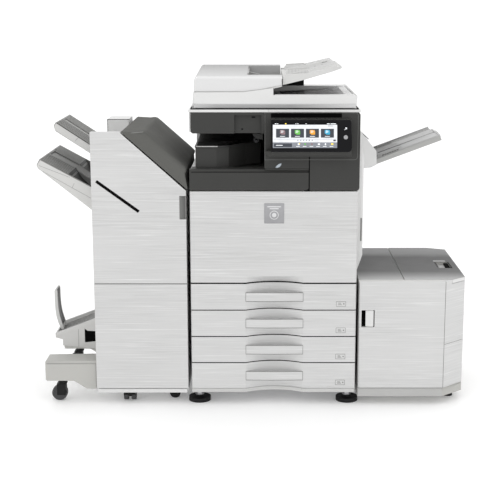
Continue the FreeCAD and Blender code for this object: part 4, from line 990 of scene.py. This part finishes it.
def finisher():
    """Slot lining and grip scoop painted as shade, seams, painted edge highlights, top cover hood, jam
    guides and the top well.
    """
    # The black lining inside the door's slot is painted shade.
    (Build("finisher_slot_shade", "finisher_door", "seam_black")
     .prism(front(), [(-584, 779), (-590, 771), (-451, 669), (-445, 677)], -11.8, -1.6))
    # The mid-grey grip scoop is painted shade in the door's recess.
    scoop = [(-312.8, 0.6), (-309, 5), (-303, 9.5), (-297, 12), (-291.4, 13), (-291.4, 13.9),
             (-312.8, 13.9)]
    (Build("finisher_door_grip_shaded", "finisher_door", "mid_grey")
     .loft([[(x, y, z) for x, y in scoop] for z in (647.3, 725.7)])
     .box(WORLD, -293.4, -291.2, 1.6, 13, 648, 725))
    (Build("finisher_door_seam", "finisher_door", "seam_black")
     .box(front(), FIN_LEFT + 0.4, FIN_RIGHT - 0.4, 426.2, 427.8, -2, -0.5))
    # White rods along the door's diagonal top edge and its left edge are painted highlights.
    (Build("finisher_door_edge_highlights", "finisher_door", "white_panel")
     .rod((-507, 1.2, 935.4), (-292, 1.2, 741.8), 1.3)
     .rod((FIN_LEFT + 1.3, 1.3, 62), (FIN_LEFT + 1.3, 1.3, 936), 1.2))
    part = Build("finisher_door_ribs", "finisher_door", "light_grey", 0.4)
    part.box(WORLD, -596, -300, 26, 27.2, 70, 700)
    for z in spread(110, 640, 7):
        part.box(WORLD, -590, -306, 26, 27.9, z - 2, z + 2)
    hood = ((46, 246, 8, 520, 10, 42), (8, 284, 8, 520, 6, 4), (2, 289, 0.2, 530, 3, 1.2),
            (2, 289, 0.2, 530, 4, 4), (40.5, 250, 0.2, 530, 7, 35), (46, 248.5, 1.6, 529, 8, 42),
            (52, 246, 5.6, 526, 9, 48), (58, 242.5, 11, 522, 10, 51.4), (66, 236, 18, 517, 10, 52.3))
    (Build("finisher_top_hood", "finisher_top_cover", "hood_grey", smooth=40,
           replaces="finisher_top_cover")
     .loft([[(u, v, w) for u, v in rounded(*outline)] for *outline, w in hood],
           plane((-504, 0, 938), (217, 0, -192), (0, 1, 0))))
    # A lighter rod along the top cover's front edge is a painted highlight.
    (Build("finisher_top_edge_highlight", "finisher_top_cover", "tray_grey")
     .rod((-497, 2.4, 931.5), (-428, -0.2, 938.2), 1.2))
    bay_front = front(199)
    part = Build("finisher_jam_guides", "finisher", "black_plastic", 0.8)
    for k, z in enumerate(spread(150, 620, 5)):
        part.plate(bay_front, -560, -340, z, z + 44, 10, 0, 16 + 6 * (k % 2))
        part.plate(bay_front, -548, -352, z + 12, z + 32, 6, 16, 27)
    part.columns(bay_front, (-570, -330), 5, 110, 690, 0, 36, 3)
    part = Build("finisher_release_levers", "finisher", "lever_green", 1.0)
    for z in (210, 444, 626):
        part.plate(bay_front, -330, -314, z, z + 34, 6, 20, 46)
        part.lathe(front(199, -322, z), [(11, 0), (11, 26), (9, 28)], 20)
    (Build("staple_case", "finisher", "lever_blue", 1.0)
     .plate(bay_front, -556, -470, 640, 700, 6, 28, 64)
     .plate(bay_front, -540, -486, 650, 670, 5, 64, 68))
    (Build("finisher_well_ribs", "finisher", "light_grey", 0.4)
     .rows(WORLD, -590, -514, spread(96, 330, 8), 1.5, 877, 882)
     .box(WORLD, -591, -512, 77, 79, 878, 926))
    rear = front(351.8)
    (Build("finisher_rear_box_face", "finisher", "white_panel", 0.3)
     .plate(rear, -589, -514, 877.4, 944.6, 2, 0, 1.0))
    (Build("finisher_rear_box_outline", "finisher", "scoop_grey")
     .box(rear, -590.6, -588.6, 880, 947, -0.3, 1.3)
     .box(rear, -590.6, -513, 944.8, 946.8, -0.3, 1.3))
    wall = side("left", FIN_LEFT, 0, 0)
    (Build("finisher_left_vents", "finisher", "seam_soft")
     .rows(wall, -470, -300, spread(330, 420, 8), 1.8, -0.5, 0.3, 1.6)
     .ring(wall, -460, -140, 480, 600, 10, 3, 8, -0.5, 0.4))
    part = Build("lift_tray_tracks", "finisher", "seam_black")
    for y in (166, 434):
        part.plate(wall, -y - 7, -y + 7, 440, 830, 3, -0.5, 0.8)


# ------------------------------------------------------------------ output trays
def ribbed(name, body, frame, u0, u1, places):
    """Rounded ribs with a dark strip beside each, painted as the shade of a groove."""
    Build(name + "_ribs", body, "rib_grey", 0.6).rows(frame, u0, u1, places, 3.0, -0.4, 1.4)
    # The dark strips are painted shade of grooves.
    groove_shades = [v + (5.6 if v > 0 else -5.6) for v in places]
    Build(name + "_grooves", body, "groove_painted_shade").rows(frame, u0 - 1, u1 + 1, groove_shades, 1.5, -0.5, 0.15)


def curved_floor(build, curve, y0, y1, lift, thick, dish=2.5):
    """A sheet that follows an XZ curve between two Y planes, its edges turned up a little."""
    rows = []
    for y, rise in ((y0, dish), (y0 + 5, 0.4), (y0 + 12, 0), (y1 - 12, 0), (y1 - 5, 0.4), (y1, dish)):
        top = [(x, y, z + lift + rise) for x, z in curve]
        rows.append(top + [(x, y, z - thick) for x, y, z in reversed(top)])
    build.loft(rows)


def output_trays():
    """Upper tray and lift tray: ribbed banks, channel, finger scoops, notches and side skirts painted
    lighter as lit faces.
    """
    upper = plane((-604, 292, 868), (-134, 0, 88), (0, -1, 0))
    ribbed("upper_tray", "finisher", upper, 4, 156,
           (26, 46, 66, 86, 106, 126, 142, -46, -64, -82, -100, -118, -136))
    (Build("upper_tray_channel", "finisher", "tray_light", 0.6)
     .box(upper, 4, 150, -32, 11, -5.8, -4.0)
     .box(upper, 20, 140, -29, -26, -4.0, -2.8))
    (Build("upper_tray_notch", "finisher", "seam_black")
     .plate(upper, 130, 151, 7.4, 11.4, 1.8, -4.0, -3.2))
    (Build("upper_tray_skirt", "finisher", "warm_painted_light", 0.8)
     .prism(front(145), [(-605, 837), (-605, 865.6), (-737, 952.6), (-744, 944), (-740, 927.6)], 0.0, 1.2))
    Build("upper_tray_fold", "finisher", "seam_soft").rod((-662.5, 143.9, 905), (-674, 143.9, 893), 0.5)
    lift = plane((-605, 275, 742), (-179, 0, 98), (0, -1, 0))
    ribbed("lift_tray", "lift_tray", lift, 100, 200,
           (*range(56, 189, 22), *range(-74, -195, -20)))
    part = Build("lift_tray_tongue", "lift_tray", "tray_light")
    part.box(lift, 98, 193, -53, 35, -7.4, -5.0)
    curved_floor(part, [(-693, 783.5), (-677, 771), (-659, 758), (-640, 748.5), (-622, 739),
                        (-605.4, 731)], 238.5, 329.5, 1.6, 4.0)
    curve = [(-689.2, 787), (-683, 772), (-671.5, 753.5), (-655, 736.5), (-640, 722.5), (-622, 714.5),
             (-605.4, 709.5)]
    scoops = Build("lift_tray_scoops", "lift_tray", "scoop_grey")
    walls = Build("lift_tray_scoop_walls", "lift_tray", "black_plastic")
    for y0, y1 in ((76.6, 237.6), (330.4, 473.4)):
        curved_floor(scoops, curve, y0, y1, 2.0, 2.6, 1.0)
        walls.box(WORLD, -690, -688.6, y0, y1, 762, 788.6)
    (Build("lift_tray_notch", "lift_tray", "seam_black")
     .plate(lift, 170, 192, 18, 32, 5, -5.2, -4.0, (174, 188, 21.5, 28.5, 3))
     .plate(lift, 174, 188, 21.5, 28.5, 3, -5.2, -4.6))
    (Build("lift_tray_skirt", "lift_tray", "warm_painted_light", 0.8)
     .prism(front(70), [(-606, 661), (-606, 740), (-782, 836.4), (-793, 820), (-789, 809)], 0.0, 1.2))
    part = Build("lift_tray_folds", "lift_tray", "seam_soft")
    for x0, z0, x1, z1 in ((-774, 798, -616, 708), (-670, 758, -678.5, 741), (-786, 818, -684, 778)):
        part.rod((x0, 68.9, z0), (x1, 68.9, z1), 0.5)


def booklet():
    """Saddle-stitch tray below: skirt painted lighter as a lit face, ramp ribs, dark exit mouth and a curved
    flip-up stopper.
    """
    face = front(130)
    outline = [(-605, 160), (-605, 276), (-760, 218), (-762, 204), (-737, 197), (-737, 175), (-672, 169)]
    (Build("booklet_skirt", "finisher", "warm_painted_light", 0.6)
     .prism(face, outline, 0.0, 1.0)
     .prism(face, [(-605, 262), (-605, 277), (-762, 219), (-762, 205)], 1.0, 2.2))
    (Build("booklet_seams", "finisher", "seam_soft")
     .box(face, -682.6, -681.6, 170, 240, 0.6, 1.35)
     .box(face, -737, -606, 161.4, 162.4, -0.5, -0.2))
    (Build("booklet_exit_mouth", "finisher", "seam_black", 0.4)
     .prism(face, [(-660, 186), (-660, 236), (-650, 228), (-606, 226), (-606, 192)], 0.6, 1.5)
     .plate(face, -652, -606, 196, 218, 2, 1.5, 3.0))
    slope = plane((-604, 0, 268), (-153, 0, -59.5), (0, -1, 0))
    part = Build("booklet_ramp_ribs", "finisher", "tray_grey", 0.4)
    for y in spread(152, 272, 7):
        part.box(slope, 8, 156, -y - 1.6, -y + 1.6, 0.2, 2.2)
    part.box(slope, 2, 60, -283, -140, 0.1, 1.2)
    outer = [(-751, 216), (-755.5, 226), (-762, 243), (-767.5, 264), (-770.5, 290), (-771.5, 320),
             (-771.5, 357), (-769, 362)]
    inner = [(-763.5, 362), (-761.2, 357), (-761.0, 320), (-759.5, 292), (-756, 268), (-750.5, 248),
             (-745.5, 231), (-742.5, 219)]
    (Build("booklet_stopper_blade", "booklet_stopper", "light_grey", 0.5, replaces="booklet_stopper")
     .prism(front(190.4), outer + inner, 0, 3)
     .prism(front(253), outer + inner, 0, 3)
     .prism(front(250), outer + [(x - 4, z) for x, z in inner], 0, 59.6))
    (Build("booklet_stopper_face", "booklet_stopper", "dark_panel")
     .prism(front(249.8), [(x - 3.8, z) for x, z in inner[1:-1]]
            + [(x - 2.6, z) for x, z in reversed(inner[1:-1])], 0, 59.2))


# ------------------------------------------------------------------ outriggers, casters and feet
def outriggers():
    """Bevelled arm covers with end caps, caster wheels with hubs and hooded forks."""
    for k, y0 in enumerate((14, 404)):
        low = [(-640, 54), (-684, 82), (-775, 83), (-780.5, 88)]
        top = [(-780.5, 138), (-776, 142), (FIN_LEFT - 1, 144), (FIN_LEFT - 1, 54)]
        (Build("outrigger_cover_%d" % k, "finisher", "warm_grey", 0.8)
         .prism(front(y0), low + top, 0, 0.9)
         .extrude((-777, FIN_LEFT - 1), [(y0 - 0.8, 142.6), (y0 + 6, 152.6), (y0 + 12, 153.4),
                                         (y0 + 12, 142)]))
        (Build("outrigger_seam_%d" % k, "finisher", "seam_soft")
         .box(front(y0), -777, FIN_LEFT - 1, 143.2, 144.0, 0.6, 1.3)
         .box(front(y0), FIN_LEFT - 4, FIN_LEFT - 3.2, 55, 143, 0.6, 1.3))
    discs = [(59, -741, 27), (449, -741, 27)]
    part = Build("outrigger_caster_wheels", "outrigger_wheels", "wheel_grey", smooth=28,
                 replaces="outrigger_wheels")
    for y, x, r in discs:
        part.lathe(front(y, x, r),
                   mirrored([(6, -11.5), (11, -11.5), (12, -9.5), (19, -9.5), (20.5, -11), (r - 2.5, -11),
                             (r - 0.3, -8.5), (r - 0.2, -1.5), (r - 2, -0.4)]))
    part = Build("outrigger_caster_hoods", "finisher", "black_plastic", 0.4)
    for y, x, r in discs:
        for reach in (-14.6, 12.2):
            shape = [(x + 26 * math.cos(t), r + 26 * math.sin(t)) for t in spread(0.1, 1.9, 9)]
            part.prism(front(y), shape + [(x + 2, r - 1), (x + 6, r - 6)], reach, reach + 2.4)
        part.lathe(side("top", x + 12, y, 55), [(15, 7), (15, 14), (12, 17), (9, 19)], 24)
        part.lathe(front(y, x, r), [(4.5, -15.4), (4.5, -12.2), (3, -12)], 14)
    part = Build("cabinet_twin_wheels", "cabinet_wheels", "wheel_grey", smooth=28,
                 replaces="cabinet_wheels")
    for middle in (-13, 13):
        part.lathe(right(-497 + middle, 62, 19),
                   mirrored([(5, -8), (10, -8), (11, -6), (15, -6), (16, -8), (17.4, -8), (18.8, -6)]), 32)
    (Build("cabinet_caster_saddle", "finisher", "black_plastic", 0.6)
     .plate(front(50, -497), -21, 21, 24, 31, 3, -20, 14)
     .plate(front(44, -497), -21, 21, 19, 23.5, 2, -6, 0.5))


def levelling_feet():
    """Threaded spindles with lock nuts on wide black discs under the main unit."""
    discs = Build("foot_discs", "main_unit", "black_plastic")
    spindles = Build("foot_spindles", "main_unit", "frame_steel", 0.2)
    for x in (-255, 255):
        for y in (60, 560):
            spot = side("top", x, y, 0)
            discs.lathe(spot, [(30, 0), (37.6, 0.4), (38, 4), (37, 8), (33, 10.5), (22, 12), (20, 14),
                               (13, 15), (13, 13)], 48)
            profile = [(7.5, 12.6)]
            for k in range(11):
                profile += [(8.2, 14 + 2.6 * k), (6.9, 15.3 + 2.6 * k)]
            spindles.lathe(spot, profile + [(7.5, 43.5)], 24)
            spindles.prism(spot, circle(0, 0, 13.5, 6), 24, 31)
            spindles.lathe(spot, [(16, 22.4), (16, 24)], 28)


# ------------------------------------------------------------------ rear of the main unit
def rear_side():
    """Seams, vent fields, screws and ports on the back."""
    back = side("back", 0, REAR, 0)
    part = Build("rear_seams_and_vents", "main_unit", "seam_soft")
    part.rows(back, -262, 262, (418, 742), 0.6, -0.6, 0.3)
    part.columns(back, (-262, 262), 0.6, 70, 985, -0.6, 0.3)
    for z in spread(800, 920, 13):
        for u in (-210, 30):
            part.plate(back, u, u + 180, z - 2, z + 2, 1.9, -0.6, 0.35)
    part.rows(back, -200, 20, spread(120, 200, 9), 2, -0.6, 0.35, 1.9)
    part = Build("rear_screws", "main_unit", "frame_steel")
    for x in (-270, 0, 250):
        for z in (90, 410, 750, 970):
            part.lathe(side("back", -x, REAR, z),
                       [(4.6, -0.4), (4.6, 0.8), (3.4, 1.9), (1.6, 2.2), (1.2, 1.2)], 18)
    Build("rear_port_plate", "main_unit", "light_grey", 0.3).plate(back, -236, -150, 600, 716, 4, -0.5, 0.6)
    part = Build("rear_ports", "main_unit", "seam_black")
    for v, wide in ((688, 16), (656, 13), (634, 13), (612, 8)):
        part.plate(back, -220, -220 + wide, v, v + 12, 1.2, 0.4, 0.9)
    part.plate(back, -196, -170, 612, 640, 3, 0.4, 0.9)


# ------------------------------------------------------------------ light and camera
WORLD_LIGHT = 1.15
LAMPS = (  # name, place, the point it aims at, size and power
    ("key_box", (-2.6, -3.6, 3.4), (0.0, -0.2, 0.6), 2.4, 12.0),
    ("top_box", (0.2, 0.2, 3.6), (0.0, 0.0, 0.6), 3.0, 2.0),
    ("fill_box", (3.2, -3.0, 1.8), (0.0, 0.0, 0.6), 2.4, 3.0),
    ("rear_box", (0.5, 3.6, 2.6), (0.0, 0.0, 0.6), 2.6, 3.0))
FLOOR_REACH = 9.0
FLOOR_GLOW = 0.15
EYE = (-39, -3860, 1345)
EYE_PITCH = 78.27
LENS = 84.96
LENS_SHIFT = -0.024


def pale_floor():
    m = Shader(0.6)
    tone = m.ramp(m.noise(1.5), [(0.3, (0.86, 0.86, 0.86)), (0.7, (0.89, 0.89, 0.89))])
    return m.finish(m.noise(300.0), 0.05, 0.0005, Base_Color=tone, Emission_Color=(1.0, 1.0, 1.0),
                    Emission_Strength=FLOOR_GLOW)


def studio():
    """White sweep, broad overhead and front softboxes, and the eye-level camera."""
    scene = bpy.context.scene
    scene.world = bpy.data.worlds.new("studio")
    scene.world.use_nodes = True
    sky = scene.world.node_tree.nodes["Background"].inputs
    sky["Color"].default_value = (1.0, 1.0, 1.0, 1.0)
    sky["Strength"].default_value = WORLD_LIGHT
    scene.view_settings.view_transform = "Standard"
    for name, place, aim, size, power in LAMPS:
        data = bpy.data.lights.new(name, "AREA")
        data.shape = "SQUARE"
        data.size = size
        data.energy = power
        lamp = placed(name, data)
        lamp.location = place
        lamp.rotation_euler = (Vector(aim) - Vector(place)).to_track_quat("-Z", "Y").to_euler()
    mesh = bpy.data.meshes.new("floor")
    corners = [(u * FLOOR_REACH, v * FLOOR_REACH, 0) for u, v in ((-1, -1), (1, -1), (1, 1), (-1, 1))]
    mesh.from_pydata(corners, [], [(0, 1, 2, 3)])
    mesh.materials.append(pale_floor())
    placed("floor", mesh)
    camera = bpy.data.cameras.new("camera")
    camera.sensor_width = 36.0
    camera.lens = LENS
    camera.shift_x = LENS_SHIFT
    scene.camera = placed("camera", camera)
    scene.camera.location = at(*EYE)
    scene.camera.rotation_euler = (math.radians(EYE_PITCH), 0.0, 0.0)


dress_nodes()
for row in range(4):
    drawer_front(row)
for make in (front_cover, base_skirt, engine_inside, bay, control_panel, document_feeder, bypass, cassette,
             finisher, output_trays, booklet, outriggers, levelling_feet, rear_side):
    make()
for build in Build.every:
    build.finish()
studio()
